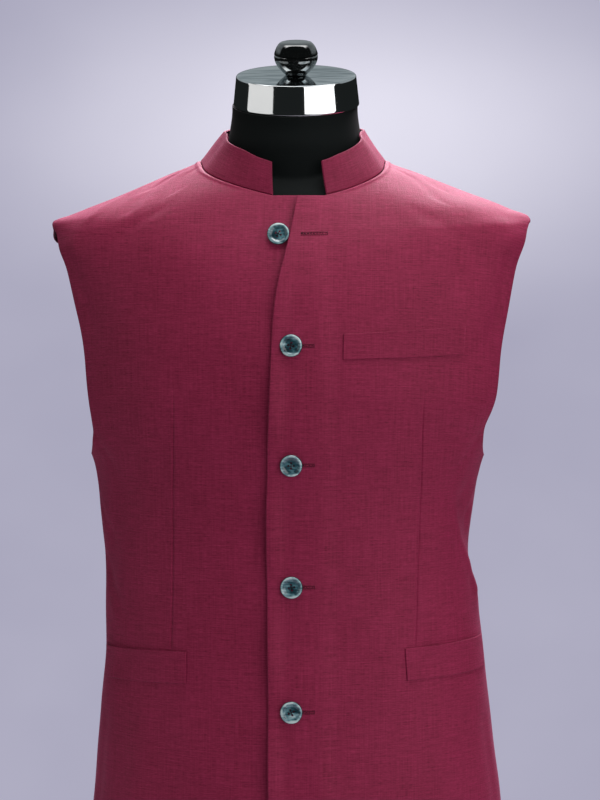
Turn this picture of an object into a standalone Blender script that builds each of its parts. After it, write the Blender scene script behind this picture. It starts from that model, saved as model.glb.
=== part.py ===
"""A sleeveless Nehru jacket on a limbless dress form, in metres, +Z up.

The jacket faces -Y and its wearer's left is +X. The origin lies under the middle of the stand's foot.
Every piece of cloth is a wall on one body surface, on which a place is an angle in degrees, turned from
the centre front towards the wearer's left, and a height above the floor.
"""
import math
from collections import namedtuple

import bmesh
import bpy
from mathutils import Matrix, Vector

# Cloth and gaps
CLOTH = 0.0020
COLLAR_CLOTH = 0.0025
WELT_CLOTH = 0.0012
SEAM_GAP = 0.0003
WELT_GAP = 0.0006
LAP_RISE = CLOTH + 0.0005
LAP_MARGIN = 0.006
LAP_RUN = 0.018
FLAP_LIFT = 0.0030
FLAP_RUN = 0.034
FLAP_FOOT = 0.850
FLAP_RISE = 0.070

# Heights of the jacket
HEM = 0.286
ARMPIT = 0.724
SHOULDER_TIP = 0.9405
NECK_FRONT = 0.9629
NECK_SIDE = 0.9945
NECK_BACK = 1.003
SIDE = 90.0
COLLAR_HEIGHT = 0.034
COLLAR_LEVELS = (0, 0.35, 0.70, 1)

# Buttons
BUTTON_RADIUS = 0.010
BUTTON_GAP = 0.00045
BUTTON_HOLE = 0.00095
BUTTON_HOLE_SPREAD = 0.0018
BUTTON_HEIGHTS = [0.9286, 0.8316, 0.7266, 0.6179, 0.5073]
OPEN_BUTTON_X = -0.0125

# Dress form and stand
FORM_BOTTOM = 0.231
NECK_TOP = 1.0437
NECK_TILT = 10.8
NECK_RADIUS = 0.0572
NECK_FILLET = 0.012
NECK_FOOT = 0.990
PLATE_LOW = (0.745, 0.168)
PLATE_SLOPE = 0.18
PLATE_ROUNDING = 0.010
FORM_SEGMENTS = 36
BASE_RADIUS = 0.150
BASE_HEIGHT = 0.018
POLE_RADIUS = 0.014

# Outside of the cloth at each height: half width on either side, depth before and behind the side seams
Section = namedtuple("Section", "height right_half left_half front back")
SECTIONS = [
    Section(0.286, 0.1970, 0.1970, 0.1290, 0.1280),
    Section(0.345, 0.1935, 0.1935, 0.1275, 0.1270),
    Section(0.405, 0.1884, 0.1873, 0.1260, 0.1250),
    Section(0.440, 0.1843, 0.1835, 0.1250, 0.1225),
    Section(0.495, 0.1786, 0.1780, 0.1225, 0.1160),
    Section(0.551, 0.1735, 0.1720, 0.1200, 0.1070),
    Section(0.590, 0.1728, 0.1670, 0.1187, 0.1015),
    Section(0.620, 0.1735, 0.1630, 0.1182, 0.0988),
    Section(0.650, 0.1755, 0.1608, 0.1188, 0.0990),
    Section(0.682, 0.1790, 0.1635, 0.1208, 0.1020),
    Section(0.713, 0.1825, 0.1684, 0.1240, 0.1062),
    Section(0.745, 0.1930, 0.1830, 0.1280, 0.1110),
    Section(0.787, 0.2035, 0.2045, 0.1312, 0.1160),
    Section(0.828, 0.2055, 0.2085, 0.1290, 0.1185),
    Section(0.868, 0.2115, 0.2135, 0.1215, 0.1180),
    Section(0.900, 0.2165, 0.2170, 0.1112, 0.1150),
    Section(0.918, 0.2174, 0.2175, 0.1044, 0.1115),
    Section(0.931, 0.2149, 0.2149, 0.0985, 0.1082),
    Section(0.941, 0.2088, 0.2088, 0.0936, 0.1048),
    Section(0.950, 0.1975, 0.1975, 0.0885, 0.1010),
    Section(0.9629, 0.1665, 0.1665, 0.0790, 0.0958),
    Section(0.970, 0.1480, 0.1480, 0.0730, 0.0925),
    Section(0.982, 0.1165, 0.1165, 0.0610, 0.0862),
    Section(0.9945, 0.0838, 0.0838, 0.0470, 0.0780),
    Section(1.003, 0.0760, 0.0760, 0.0400, 0.0718),
    Section(1.012, 0.0700, 0.0700, 0.0340, 0.0650),
]

# How much further out the shoulder seam reaches than the rounded cloth before and behind it
Ridge = namedtuple("Ridge", "height reach")
RIDGE_ANGLE = 18.0
SHOULDER_RIDGE = [
    Ridge(0.905, 0.0000),
    Ridge(0.918, 0.0012),
    Ridge(0.931, 0.0040),
    Ridge(0.9405, 0.0083),
    Ridge(0.9455, 0.0028),
    Ridge(0.951, 0.0000),
]

# Where the front edges run: the left front laps over the right one and falls open at the neck
FrontEdge = namedtuple("FrontEdge", "height left_x right_x")
FRONT_EDGES = [
    FrontEdge(0.286, -0.0195, 0.0195),
    FrontEdge(0.606, -0.0188, 0.0195),
    FrontEdge(0.714, -0.0183, 0.0195),
    FrontEdge(0.810, -0.0164, 0.0195),
    FrontEdge(0.842, -0.0153, 0.0190),
    FrontEdge(0.865, -0.0135, 0.0175),
    FrontEdge(0.891, -0.0095, 0.0150),
    FrontEdge(0.918, -0.0035, 0.0120),
    FrontEdge(0.940, 0.0010, 0.0105),
    FrontEdge(0.9629, 0.0046, 0.0090),
]

# Rows of the panels: along the side seam, the armhole and the shoulder seam, with the height on the
# centre line where each row starts
SIDE_HEIGHTS = [HEM, 0.322, 0.360, 0.397, 0.433, 0.467, 0.499, 0.529, 0.557, 0.585, 0.613, 0.641, 0.668,
                0.697]
SideRow = namedtuple("SideRow", "front_angle back_angle height front_centre back_centre")
ARMHOLE_ROWS = [
    SideRow(90.0, 90.0, ARMPIT, ARMPIT, ARMPIT),
    SideRow(82.0, 97.0, 0.7275, 0.7400, 0.7400),
    SideRow(75.0, 103.5, 0.7350, 0.7570, 0.7580),
    SideRow(70.0, 108.0, 0.7470, 0.7750, 0.7770),
    SideRow(66.5, 111.0, 0.7650, 0.7940, 0.7970),
    SideRow(65.2, 112.5, 0.7870, 0.8140, 0.8180),
    SideRow(65.6, 112.8, 0.8100, 0.8340, 0.8400),
    SideRow(66.6, 112.3, 0.8350, 0.8540, 0.8630),
    SideRow(68.2, 111.0, 0.8680, 0.8770, 0.8880),
    SideRow(70.6, 108.5, 0.8980, 0.8980, 0.9110),
    SideRow(74.5, 104.5, 0.9180, 0.9140, 0.9280),
    SideRow(81.0, 98.0, 0.9320, 0.9240, 0.9400),
    SideRow(90.0, 90.0, SHOULDER_TIP, 0.9300, 0.9490),
]
SHOULDER_ROWS = [
    SideRow(90.0, 90.0, 0.9500, 0.9345, 0.9570),
    SideRow(90.0, 90.0, 0.9600, 0.9395, 0.9650),
    SideRow(90.0, 90.0, 0.9700, 0.9445, 0.9735),
    SideRow(90.0, 90.0, 0.9790, 0.9495, 0.9820),
    SideRow(90.0, 90.0, 0.9870, 0.9555, 0.9920),
    SideRow(90.0, 90.0, NECK_SIDE, NECK_FRONT, NECK_BACK),
]

# First row that starts to bend to the neckline
BEND_ROW = len(SIDE_HEIGHTS) + 6

# Shares of a panel's width at its columns, from the centre line to the side
COLLAR_START = 0.10
LEFT_COLUMNS = [0, 0.05, COLLAR_START, 0.14, 0.17, 0.205, 0.24, 0.31, 0.38, 0.46, 0.54, 0.62, 0.70,
                0.78, 0.86, 0.93, 1]
RIGHT_COLUMNS = [0, 0.05, COLLAR_START, 0.17, 0.24, 0.31, 0.38, 0.46, 0.54, 0.62, 0.70, 0.78, 0.86,
                 0.93, 1]
BACK_COLUMNS = [0, 0.09, 0.18, 0.27, 0.36, 0.45, 0.54, 0.63, 0.72, 0.81, 0.88, 0.94, 1]

# Largest folds: each runs between two places, and its middle stands out or in by its depth
Fold = namedtuple("Fold", "angle_a height_a angle_b height_b width depth")
DEGREE = 0.0030
FOLDS = [
    Fold(70, 0.690, 88, 0.630, 0.016, -0.0030),
    Fold(56, 0.655, 84, 0.600, 0.020, 0.0025),
    Fold(-58, 0.690, -76, 0.610, 0.024, -0.0025),
    Fold(-42, 0.930, -60, 0.850, 0.020, -0.0022),
    Fold(46, 0.925, 60, 0.840, 0.022, -0.0018),
    Fold(-50, 0.790, -76, 0.700, 0.024, -0.0020),
    Fold(128, 0.930, 116, 0.800, 0.024, -0.0025),
    Fold(-130, 0.925, -114, 0.790, 0.024, -0.0025),
    Fold(140, 0.665, 98, 0.640, 0.018, -0.0025),
    Fold(-138, 0.650, -96, 0.622, 0.018, -0.0022),
    Fold(150, 0.470, 142, 0.300, 0.026, 0.0030),
    Fold(-148, 0.470, -138, 0.300, 0.026, 0.0030),
]

# How far the collar leans inwards, by angle from the centre front
Lean = namedtuple("Lean", "angle degrees")
COLLAR_LEANS = [Lean(0, 24), Lean(45, 31), Lean(90, 36), Lean(135, 24), Lean(180, 12)]

# Pocket welts: from the end at the centre to the end at the side
Welt = namedtuple("Welt", "name start_angle end_angle start_top end_top start_drop end_drop")
WELTS = [
    Welt("breast_welt", 13.1, 47.7, 0.8416, 0.8468, 0.0225, 0.0250),
    Welt("hip_welt_right", -32.0, -82.0, 0.5574, 0.5510, 0.0288, 0.0288),
    Welt("hip_welt_left", 36.0, 84.0, 0.5604, 0.5620, 0.0288, 0.0288),
]
WELT_COLUMNS = 10

# Outside of the dress form's torso, inside the jacket, up to its shoulders
FormSection = namedtuple("FormSection", "height half front back")
FORM_SECTIONS = [
    FormSection(0.231, 0.1720, 0.1090, 0.1090),
    FormSection(0.262, 0.1760, 0.1130, 0.1130),
    FormSection(0.330, 0.1780, 0.1150, 0.1150),
    FormSection(0.405, 0.1765, 0.1150, 0.1150),
    FormSection(0.450, 0.1730, 0.1140, 0.1120),
    FormSection(0.500, 0.1675, 0.1120, 0.1065),
    FormSection(0.551, 0.1610, 0.1110, 0.0985),
    FormSection(0.590, 0.1565, 0.1105, 0.0935),
    FormSection(0.632, 0.1535, 0.1105, 0.0915),
    FormSection(0.670, 0.1540, 0.1130, 0.0935),
    FormSection(0.705, 0.1580, 0.1165, 0.0985),
    FormSection(0.730, 0.1650, 0.1195, 0.1020),
    FormSection(0.757, 0.1800, 0.1225, 0.1065),
    FormSection(0.790, 0.1950, 0.1255, 0.1105),
    FormSection(0.828, 0.2000, 0.1235, 0.1125),
    FormSection(0.868, 0.2055, 0.1155, 0.1100),
    FormSection(0.900, 0.2085, 0.1050, 0.1065),
    FormSection(0.920, 0.2080, 0.0965, 0.1020),
    FormSection(0.932, 0.2055, 0.0905, 0.0985),
    FormSection(0.9395, 0.2020, 0.0870, 0.0965),
    FormSection(0.947, 0.1950, 0.0840, 0.0960),
    FormSection(0.953, 0.1815, 0.0800, 0.0930),
    FormSection(0.960, 0.1648, 0.0750, 0.0895),
    FormSection(0.967, 0.1465, 0.0690, 0.0855),
    FormSection(0.973, 0.1308, 0.0630, 0.0815),
    FormSection(0.979, 0.1150, 0.0565, 0.0770),
    FormSection(0.985, 0.0994, 0.0495, 0.0720),
    FormSection(0.9905, 0.0850, 0.0430, 0.0665),
    FormSection(0.996, 0.0620, 0.0360, 0.0600),
]
NECK_HEIGHTS = [1.003, 1.012, 1.022, 1.033, NECK_TOP - SEAM_GAP]

# Turned profiles, radius and height, from the top down the outside
Turn = namedtuple("Turn", "radius height")
CAP_PROFILE = [
    Turn(0, 0.0312),
    Turn(0.0300, 0.0310),
    Turn(0.0500, 0.0303),
    Turn(0.0538, 0.0292),
    Turn(0.0553, 0.0270),
    Turn(0.0574, 0.0022),
    Turn(0.0572, 0),
    Turn(0, 0),
]
KNOB_PROFILE = [
    Turn(0, 0.0345),
    Turn(0.0065, 0.0339),
    Turn(0.0125, 0.0315),
    Turn(0.0170, 0.0272),
    Turn(0.0194, 0.0218),
    Turn(0.0200, 0.0188),
    Turn(0.0192, 0.0180),
    Turn(0.0200, 0.0172),
    Turn(0.0189, 0.0125),
    Turn(0.0155, 0.0085),
    Turn(0.0112, 0.0060),
    Turn(0.0098, 0.0042),
    Turn(0.0104, 0.0028),
    Turn(0.0130, 0.0022),
    Turn(0.0134, 0.0008),
    Turn(0.0130, 0),
    Turn(0, 0),
]
BUTTON_PROFILE = [
    Turn(0, 0.0021),
    Turn(0.0058, 0.0021),
    Turn(0.0074, 0.0031),
    Turn(0.0091, 0.0032),
    Turn(BUTTON_RADIUS, 0.0023),
    Turn(0.0098, 0.0009),
    Turn(0.0086, 0),
    Turn(0, 0),
]
BASE_PROFILE = [
    Turn(0, BASE_HEIGHT),
    Turn(0.030, BASE_HEIGHT),
    Turn(0.120, 0.013),
    Turn(0.146, 0.010),
    Turn(BASE_RADIUS, 0.006),
    Turn(BASE_RADIUS, 0),
    Turn(0, 0),
]
POLE_TOP = FORM_BOTTOM - SEAM_GAP
POLE_FOOT = BASE_HEIGHT + SEAM_GAP
POLE_PROFILE = [
    Turn(0, POLE_TOP),
    Turn(0.030, POLE_TOP),
    Turn(0.030, POLE_TOP - 0.008),
    Turn(0.018, POLE_TOP - 0.014),
    Turn(POLE_RADIUS, POLE_TOP - 0.030),
    Turn(POLE_RADIUS, POLE_FOOT + 0.026),
    Turn(0.018, POLE_FOOT + 0.012),
    Turn(0.022, POLE_FOOT + 0.004),
    Turn(0.022, POLE_FOOT),
    Turn(0, POLE_FOOT),
]

# Colour, roughness and metallic value of each finish
Finish = namedtuple("Finish", "colour roughness metallic")
FINISHES = {
    "burgundy_cloth": Finish((0.17, 0.022, 0.055), 0.85, 0.0),
    "shell_button": Finish((0.10, 0.13, 0.17), 0.25, 0.0),
    "black_jersey": Finish((0.012, 0.012, 0.014), 0.80, 0.0),
    "chrome": Finish((0.80, 0.81, 0.82), 0.08, 1.0),
    "black_lacquer": Finish((0.010, 0.008, 0.008), 0.12, 0.0),
    "black_metal": Finish((0.020, 0.020, 0.022), 0.40, 0.6),
}


# Scene, collections and materials

def clear_scene():
    """Remove the objects that the scene starts with."""
    for thing in list(bpy.context.scene.objects):
        bpy.data.objects.remove(thing, do_unlink=True)


def new_collection(name):
    """Add a collection to the scene."""
    group = bpy.data.collections.new(name)
    bpy.context.scene.collection.children.link(group)
    return group


def finish_material(name):
    """Return the material of a finish, made once."""
    if name in bpy.data.materials:
        return bpy.data.materials[name]
    finish = FINISHES[name]
    material = bpy.data.materials.new(name)
    material.use_nodes = True
    shader = material.node_tree.nodes["Principled BSDF"]
    shader.inputs["Base Color"].default_value = (*finish.colour, 1)
    shader.inputs["Roughness"].default_value = finish.roughness
    shader.inputs["Metallic"].default_value = finish.metallic
    return material


def place(name, mesh, group, finish):
    """Link a mesh as a named piece with its own finish."""
    piece = bpy.data.objects.new(name, mesh)
    group.objects.link(piece)
    if not mesh.materials:
        mesh.materials.append(finish_material(finish))
    return piece


# Body surface of the jacket

def curve_through(knots, values):
    """Return a smooth function through the values at the knots, which never overshoots between them."""
    steps = [b - a for a, b in zip(knots, knots[1:])]
    slopes = [(b - a) / step for a, b, step in zip(values, values[1:], steps)]
    tangents = [slopes[0]]
    for before, after in zip(slopes, slopes[1:]):
        tangents.append(2 * before * after / (before + after) if before * after > 0 else 0.0)
    tangents.append(slopes[-1])

    def value_at(knot):
        index = 0
        while index < len(steps) - 1 and knot > knots[index + 1]:
            index += 1
        step = steps[index]
        share = min(max((knot - knots[index]) / step, 0.0), 1.0)
        rest = 1 - share
        return (values[index] * (1 + 2 * share) * rest ** 2
                + tangents[index] * step * share * rest ** 2
                + values[index + 1] * (3 - 2 * share) * share ** 2
                - tangents[index + 1] * step * rest * share ** 2)

    return value_at


def table_curves(rows):
    """Return one smooth function for each column of a table, over its first column."""
    knots = [row[0] for row in rows]
    return {name: curve_through(knots, [getattr(row, name) for row in rows]) for name in rows[0]._fields[1:]}


BODY = table_curves(SECTIONS)
RIDGE = table_curves(SHOULDER_RIDGE)
EDGES = table_curves(FRONT_EDGES)
LEANS = table_curves(COLLAR_LEANS)
TORSO = table_curves(FORM_SECTIONS)


def ease(share):
    """Rise smoothly from 0 to 1."""
    share = min(max(share, 0.0), 1.0)
    return share * share * (3 - 2 * share)


def body_point(angle, height):
    """Return the place on the body surface at an angle and a height."""
    half = BODY["left_half"](height) if angle >= 0 else BODY["right_half"](height)
    half += RIDGE["reach"](height) * ease(1 - abs(abs(angle) - SIDE) / RIDGE_ANGLE)
    depth = BODY["front"](height) if abs(angle) <= SIDE else BODY["back"](height)
    turn = math.radians(angle)
    return Vector((half * math.sin(turn), -depth * math.cos(turn), height))


def body_normal(angle, height):
    """Return the direction straight out of the body surface."""
    around = body_point(angle + 0.5, height) - body_point(angle - 0.5, height)
    upward = body_point(angle, height + 0.001) - body_point(angle, height - 0.001)
    return around.cross(upward).normalized()


def fold_rise(angle, height):
    """Return how far the folds push the cloth out at a place."""
    rise = 0.0
    for fold in FOLDS:
        across = Vector(((fold.angle_b - fold.angle_a) * DEGREE, fold.height_b - fold.height_a))
        offset = Vector(((angle - fold.angle_a) * DEGREE, height - fold.height_a))
        along = offset.dot(across) / across.length_squared
        beside = abs(offset.x * across.y - offset.y * across.x) / across.length
        past = max(0.0, -along, along - 1) * across.length
        rise += fold.depth * math.exp(-(beside ** 2 + past ** 2) / fold.width ** 2)
    return rise


def cloth_point(angle, height, rise):
    """Return a place on the outside of the cloth, moved out by a rise."""
    return body_point(angle, height) + body_normal(angle, height) * (fold_rise(angle, height) + rise)


def no_rise(angle, height):
    """Rise of a panel that lies straight on the body surface."""
    return 0.0


def lap_rise(angle, height):
    """Rise of the left front: it lies on the right one, and its edge stands off where it falls open."""
    x = body_point(angle, height).x
    under = EDGES["right_x"](height) + LAP_MARGIN
    lap = LAP_RISE * (1 - ease((x - under) / LAP_RUN))
    open_share = ease((height - FLAP_FOOT) / FLAP_RISE)
    edge_share = 1 - ease((x - EDGES["left_x"](height)) / FLAP_RUN)
    return lap + FLAP_LIFT * open_share * edge_share


# Walls of cloth

def wall(name, outer, inner, group, finish):
    """Make a closed wall between two grids of points, given as rows."""
    bm = bmesh.new()
    for rows in (outer, inner):
        grid = bmesh.ops.create_grid(bm, x_segments=len(rows[0]) - 1, y_segments=len(rows) - 1, size=1)
        points = [point for row in rows for point in row]
        for vertex, point in zip(grid["verts"], points):
            vertex.co = point
    bmesh.ops.bridge_loops(bm, edges=[edge for edge in bm.edges if edge.is_boundary])
    bmesh.ops.recalc_face_normals(bm, faces=bm.faces)
    mesh = bpy.data.meshes.new(name)
    bm.to_mesh(mesh)
    bm.free()
    mesh.shade_smooth()
    mesh.set_sharp_from_angle(angle=math.radians(50))
    return place(name, mesh, group, finish)


def cloth_wall(name, places, rise_at, group):
    """Make a cloth wall through places on the body surface, each an angle and a height."""
    outer = [[cloth_point(angle, height, rise_at(angle, height)) for angle, height in row] for row in places]
    inner = [[cloth_point(angle, height, rise_at(angle, height)) - body_normal(angle, height) * CLOTH
              for angle, height in row] for row in places]
    wall(name, outer, inner, group, "burgundy_cloth")


def all_side_rows():
    """Return every row from the hem to the neck."""
    side = [SideRow(SIDE, SIDE, height, height, height) for height in SIDE_HEIGHTS]
    return side + ARMHOLE_ROWS + SHOULDER_ROWS


def seam_inset(angle, height):
    """Return half the gap of a seam as an angle, where the seam runs at that angle."""
    around = body_point(angle + 0.5, height) - body_point(angle - 0.5, height)
    return 0.5 * SEAM_GAP / around.length


def neck_share(share, row_index):
    """Return how far a row has risen at a share of its width: the upper rows bend to the neckline."""
    last_row = len(SIDE_HEIGHTS) + len(ARMHOLE_ROWS) + len(SHOULDER_ROWS) - 1
    bend = ease((row_index - BEND_ROW) / (last_row - BEND_ROW))
    neckline = math.sin(math.radians(90) * max(0.0, share - COLLAR_START) / (1 - COLLAR_START))
    return (1 - bend) * share + bend * neckline


def front_places(side, columns):
    """Return the rows of places of a front: side is 1 for the wearer's left and -1 for the right."""
    edge_column = "left_x" if side > 0 else "right_x"
    places = []
    for index, row in enumerate(all_side_rows()):
        half = BODY["left_half"](row.front_centre)
        edge = math.degrees(math.asin(EDGES[edge_column](row.front_centre) / half)) * side
        end = row.front_angle
        if end == SIDE:
            end -= seam_inset(SIDE * side, row.height)
        line = []
        for share in columns:
            rise = neck_share(share, index)
            height = row.front_centre + (row.height - row.front_centre) * rise
            line.append((side * (edge + (end - edge) * share), height))
        places.append(line)
    return places


def back_places(side):
    """Return the rows of places of a back half, from the centre back to the side."""
    places = []
    for row in all_side_rows():
        start = 180 - seam_inset(179 * side, row.back_centre)
        end = row.back_angle
        if end == SIDE:
            end += seam_inset(SIDE * side, row.height)
        line = []
        for share in BACK_COLUMNS:
            height = row.back_centre + (row.height - row.back_centre) * ease(share)
            line.append((side * (start + (end - start) * share), height))
        places.append(line)
    return places


def make_collar(left, right, back_left, back_right, group):
    """Stand the collar on the neckline, which is the top row of each panel, from right to left."""
    first = LEFT_COLUMNS.index(COLLAR_START)
    left_line = [(place, lap_rise(*place)) for place in left[-1][first:]]
    right_line = [(place, 0.0) for place in right[-1][first:]]
    back_left_line = [(place, 0.0) for place in back_left[-1][1:-1]]
    back_right_line = [(place, 0.0) for place in back_right[-1][1:-1]]
    nape = [((180.0, NECK_BACK), 0.0)]
    line = right_line + back_right_line[::-1] + nape + back_left_line + left_line[::-1]
    outer = []
    inner = []
    for share in COLLAR_LEVELS:
        outer_row = []
        inner_row = []
        for (angle, height), rise in line:
            normal = body_normal(angle, height)
            outward = Vector((normal.x, normal.y, 0)).normalized()
            lean = math.radians(LEANS["degrees"](abs(angle)))
            up = Vector((0, 0, 1)) * math.cos(lean) - outward * math.sin(lean)
            face = outward * math.cos(lean) + Vector((0, 0, 1)) * math.sin(lean)
            point = cloth_point(angle, height, rise) + up * (SEAM_GAP + share * COLLAR_HEIGHT)
            outer_row.append(point)
            inner_row.append(point - face * COLLAR_CLOTH)
        outer.append(outer_row)
        inner.append(inner_row)
    wall("collar", outer, inner, group, "burgundy_cloth")


def make_welt(welt, group):
    """Lay a pocket welt on its panel."""
    outer = []
    inner = []
    for level in (1.0, 0.5, 0.0):
        outer_row = []
        inner_row = []
        for column in range(WELT_COLUMNS + 1):
            share = column / WELT_COLUMNS
            angle = welt.start_angle + (welt.end_angle - welt.start_angle) * share
            top = welt.start_top + (welt.end_top - welt.start_top) * share
            drop = welt.start_drop + (welt.end_drop - welt.start_drop) * share
            height = top - drop * level
            outer_row.append(cloth_point(angle, height, WELT_GAP + WELT_CLOTH))
            inner_row.append(cloth_point(angle, height, WELT_GAP))
        outer.append(outer_row)
        inner.append(inner_row)
    wall(welt.name, outer, inner, group, "burgundy_cloth")


# Turned pieces

def turned(name, profile, segments, group, finish):
    """Turn a profile about +Z and return the piece."""
    mesh = bpy.data.meshes.new(name)
    points = [(turn.radius, 0, turn.height) for turn in profile]
    mesh.from_pydata(points, [(i, i + 1) for i in range(len(points) - 1)], [])
    piece = place(name, mesh, group, finish)
    screw = piece.modifiers.new("turn", "SCREW")
    screw.axis = "Z"
    screw.steps = segments
    screw.render_steps = segments
    screw.use_merge_vertices = True
    screw.merge_threshold = 0.0001
    screw.use_smooth_shade = True
    return piece


def settled_mesh(piece, name):
    """Return a mesh of the piece as its modifiers leave it."""
    depsgraph = bpy.context.evaluated_depsgraph_get()
    mesh = bpy.data.meshes.new_from_object(piece.evaluated_get(depsgraph))
    mesh.name = name
    mesh.set_sharp_from_angle(angle=math.radians(40))
    return mesh


def button_mesh(cutters):
    """Make the button's mesh: a dished round with a rim and four sewing holes."""
    blank = turned("button_blank", BUTTON_PROFILE, 20, cutters, "shell_button")
    bm = bmesh.new()
    for x in (-1, 1):
        for y in (-1, 1):
            centre = Matrix.Translation((x * BUTTON_HOLE_SPREAD, y * BUTTON_HOLE_SPREAD, 0.001))
            bmesh.ops.create_cone(bm, cap_ends=True, segments=8, radius1=BUTTON_HOLE, radius2=BUTTON_HOLE,
                                  depth=0.006, matrix=centre)
    drill_mesh = bpy.data.meshes.new("button_drill")
    bm.to_mesh(drill_mesh)
    bm.free()
    drill = bpy.data.objects.new("button_drill", drill_mesh)
    cutters.objects.link(drill)
    cut = blank.modifiers.new("sewing holes", "BOOLEAN")
    cut.operation = "DIFFERENCE"
    cut.object = drill
    for guide in (blank, drill):
        guide.hide_render = True
        guide.display_type = "WIRE"
    return settled_mesh(blank, "button")


def make_buttons(group, cutters):
    """Set the buttons down the centre front: the top one lies undone on the right front."""
    mesh = button_mesh(cutters)
    for index, height in enumerate(BUTTON_HEIGHTS):
        angle = 0.0
        rise = lap_rise(angle, height)
        if index == 0:
            angle = math.degrees(math.asin(OPEN_BUTTON_X / BODY["right_half"](height)))
            rise = 0.0
        facing = body_normal(angle, height)
        button = place(f"button_{index + 1}", mesh, group, "shell_button")
        button.location = cloth_point(angle, height, rise + BUTTON_GAP)
        button.rotation_euler = facing.to_track_quat("Z", "Y").to_euler()


# Dress form

def plate_limit(x, height):
    """Hold a half width back to the flat arm plate, with a rounded rim."""
    limit = PLATE_LOW[1] + (height - PLATE_LOW[0]) * PLATE_SLOPE
    past = (x - limit) / PLATE_ROUNDING
    if past <= -1:
        return x
    if past >= 1:
        return limit
    return x - PLATE_ROUNDING * (past + 1) ** 2 / 4


def form_ring(height, in_torso):
    """Return a ring of the dress form: the larger of torso and neck, with a fillet between them."""
    ring = []
    for index in range(FORM_SEGMENTS):
        turn = 2 * math.pi * index / FORM_SEGMENTS
        direction = Vector((0.17 * math.sin(turn), -0.12 * math.cos(turn), 0)).normalized()
        neck = NECK_RADIUS
        reach = neck
        if in_torso:
            depth = TORSO["front"](height) if direction.y <= 0 else TORSO["back"](height)
            torso = 1 / math.hypot(direction.x / TORSO["half"](height), direction.y / depth)
            close = max(NECK_FILLET - abs(torso - neck), 0)
            reach = max(torso, neck) + close * close / (4 * NECK_FILLET)
        side = 1 if direction.x >= 0 else -1
        x = plate_limit(abs(direction.x) * reach, height) * side
        tilt = ease((height - NECK_FOOT) / (NECK_TOP - NECK_FOOT)) * math.tan(math.radians(NECK_TILT))
        y = direction.y * reach
        ring.append(Vector((x, y, height + y * tilt)))
    return ring


def make_form(group):
    """Loft the torso and neck through their rings and close both ends."""
    heights = [section.height for section in FORM_SECTIONS]
    rings = [form_ring(height, True) for height in heights]
    rings += [form_ring(height, False) for height in NECK_HEIGHTS]
    bm = bmesh.new()
    loops = []
    for ring in rings:
        vertices = [bm.verts.new(point) for point in ring]
        loops.append([bm.edges.new((a, b)) for a, b in zip(vertices, vertices[1:] + vertices[:1])])
    for lower, upper in zip(loops, loops[1:]):
        bmesh.ops.bridge_loops(bm, edges=lower + upper)
    bmesh.ops.holes_fill(bm, edges=loops[0] + loops[-1])
    bmesh.ops.recalc_face_normals(bm, faces=bm.faces)
    mesh = bpy.data.meshes.new("dress_form")
    bm.to_mesh(mesh)
    bm.free()
    mesh.shade_smooth()
    mesh.set_sharp_from_angle(angle=math.radians(50))
    place("dress_form", mesh, group, "black_jersey")


def make_cap_and_knob(group):
    """Set the chrome cap on the tilted neck and the turned knob on the cap."""
    tilt = Matrix.Rotation(math.radians(NECK_TILT), 3, "X")
    cap = turned("neck_cap", CAP_PROFILE, 36, group, "chrome")
    cap.rotation_euler = tilt.to_euler()
    cap.location = (0, 0, NECK_TOP)
    knob = turned("cap_knob", KNOB_PROFILE, 20, group, "black_lacquer")
    knob.rotation_euler = tilt.to_euler()
    knob.location = Vector((0, 0, NECK_TOP)) + tilt @ Vector((0, 0, CAP_PROFILE[0].height + SEAM_GAP))


def build():
    """Build the jacket, the dress form and its stand."""
    clear_scene()
    group = new_collection("nehru_jacket_on_dress_form")
    cutters = new_collection("cutters")
    left = front_places(1, LEFT_COLUMNS)
    right = front_places(-1, RIGHT_COLUMNS)
    back_left = back_places(1)
    back_right = back_places(-1)
    cloth_wall("left_front", left, lap_rise, group)
    cloth_wall("right_front", right, no_rise, group)
    cloth_wall("back_left", back_left, no_rise, group)
    cloth_wall("back_right", back_right, no_rise, group)
    make_collar(left, right, back_left, back_right, group)
    for welt in WELTS:
        make_welt(welt, group)
    make_buttons(group, cutters)
    make_form(group)
    make_cap_and_knob(group)
    turned("stand_pole", POLE_PROFILE, 24, group, "black_metal")
    turned("stand_base", BASE_PROFILE, 48, group, "black_metal")


build()
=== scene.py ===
"""A burgundy Nehru jacket on a black dress form: its looks, in metres, +Z up.

The jacket faces -Y and its wearer's left is +X. On the body's surface a place is an angle in degrees,
turned from the centre front towards the wearer's left, and a height above the floor. Lengths are in
metres, but for the tables and profiles that are said to be in millimetres.
"""
import math

import bmesh
import bpy
import numpy as np
from mathutils import Matrix, Vector


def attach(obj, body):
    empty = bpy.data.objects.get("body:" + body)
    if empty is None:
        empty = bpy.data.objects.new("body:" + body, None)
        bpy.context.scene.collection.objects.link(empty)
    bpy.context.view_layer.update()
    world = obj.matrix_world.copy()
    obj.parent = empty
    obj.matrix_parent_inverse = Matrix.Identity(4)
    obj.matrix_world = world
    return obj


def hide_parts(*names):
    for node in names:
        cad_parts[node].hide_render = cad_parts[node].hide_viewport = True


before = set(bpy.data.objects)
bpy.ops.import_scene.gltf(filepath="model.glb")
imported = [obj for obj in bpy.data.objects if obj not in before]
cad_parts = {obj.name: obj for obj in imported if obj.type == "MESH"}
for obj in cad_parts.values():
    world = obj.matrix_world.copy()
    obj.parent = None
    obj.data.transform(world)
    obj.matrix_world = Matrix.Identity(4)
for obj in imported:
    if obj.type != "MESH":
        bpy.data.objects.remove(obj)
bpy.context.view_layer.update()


# --------------------------------------------------------------
# Left front
# The front with the buttonholes, which laps over the other one. Slub cloth, interlined and lined, pressed
# to a soft roll along its edges, with a dart that takes in the waist down to the hip pocket.

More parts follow.
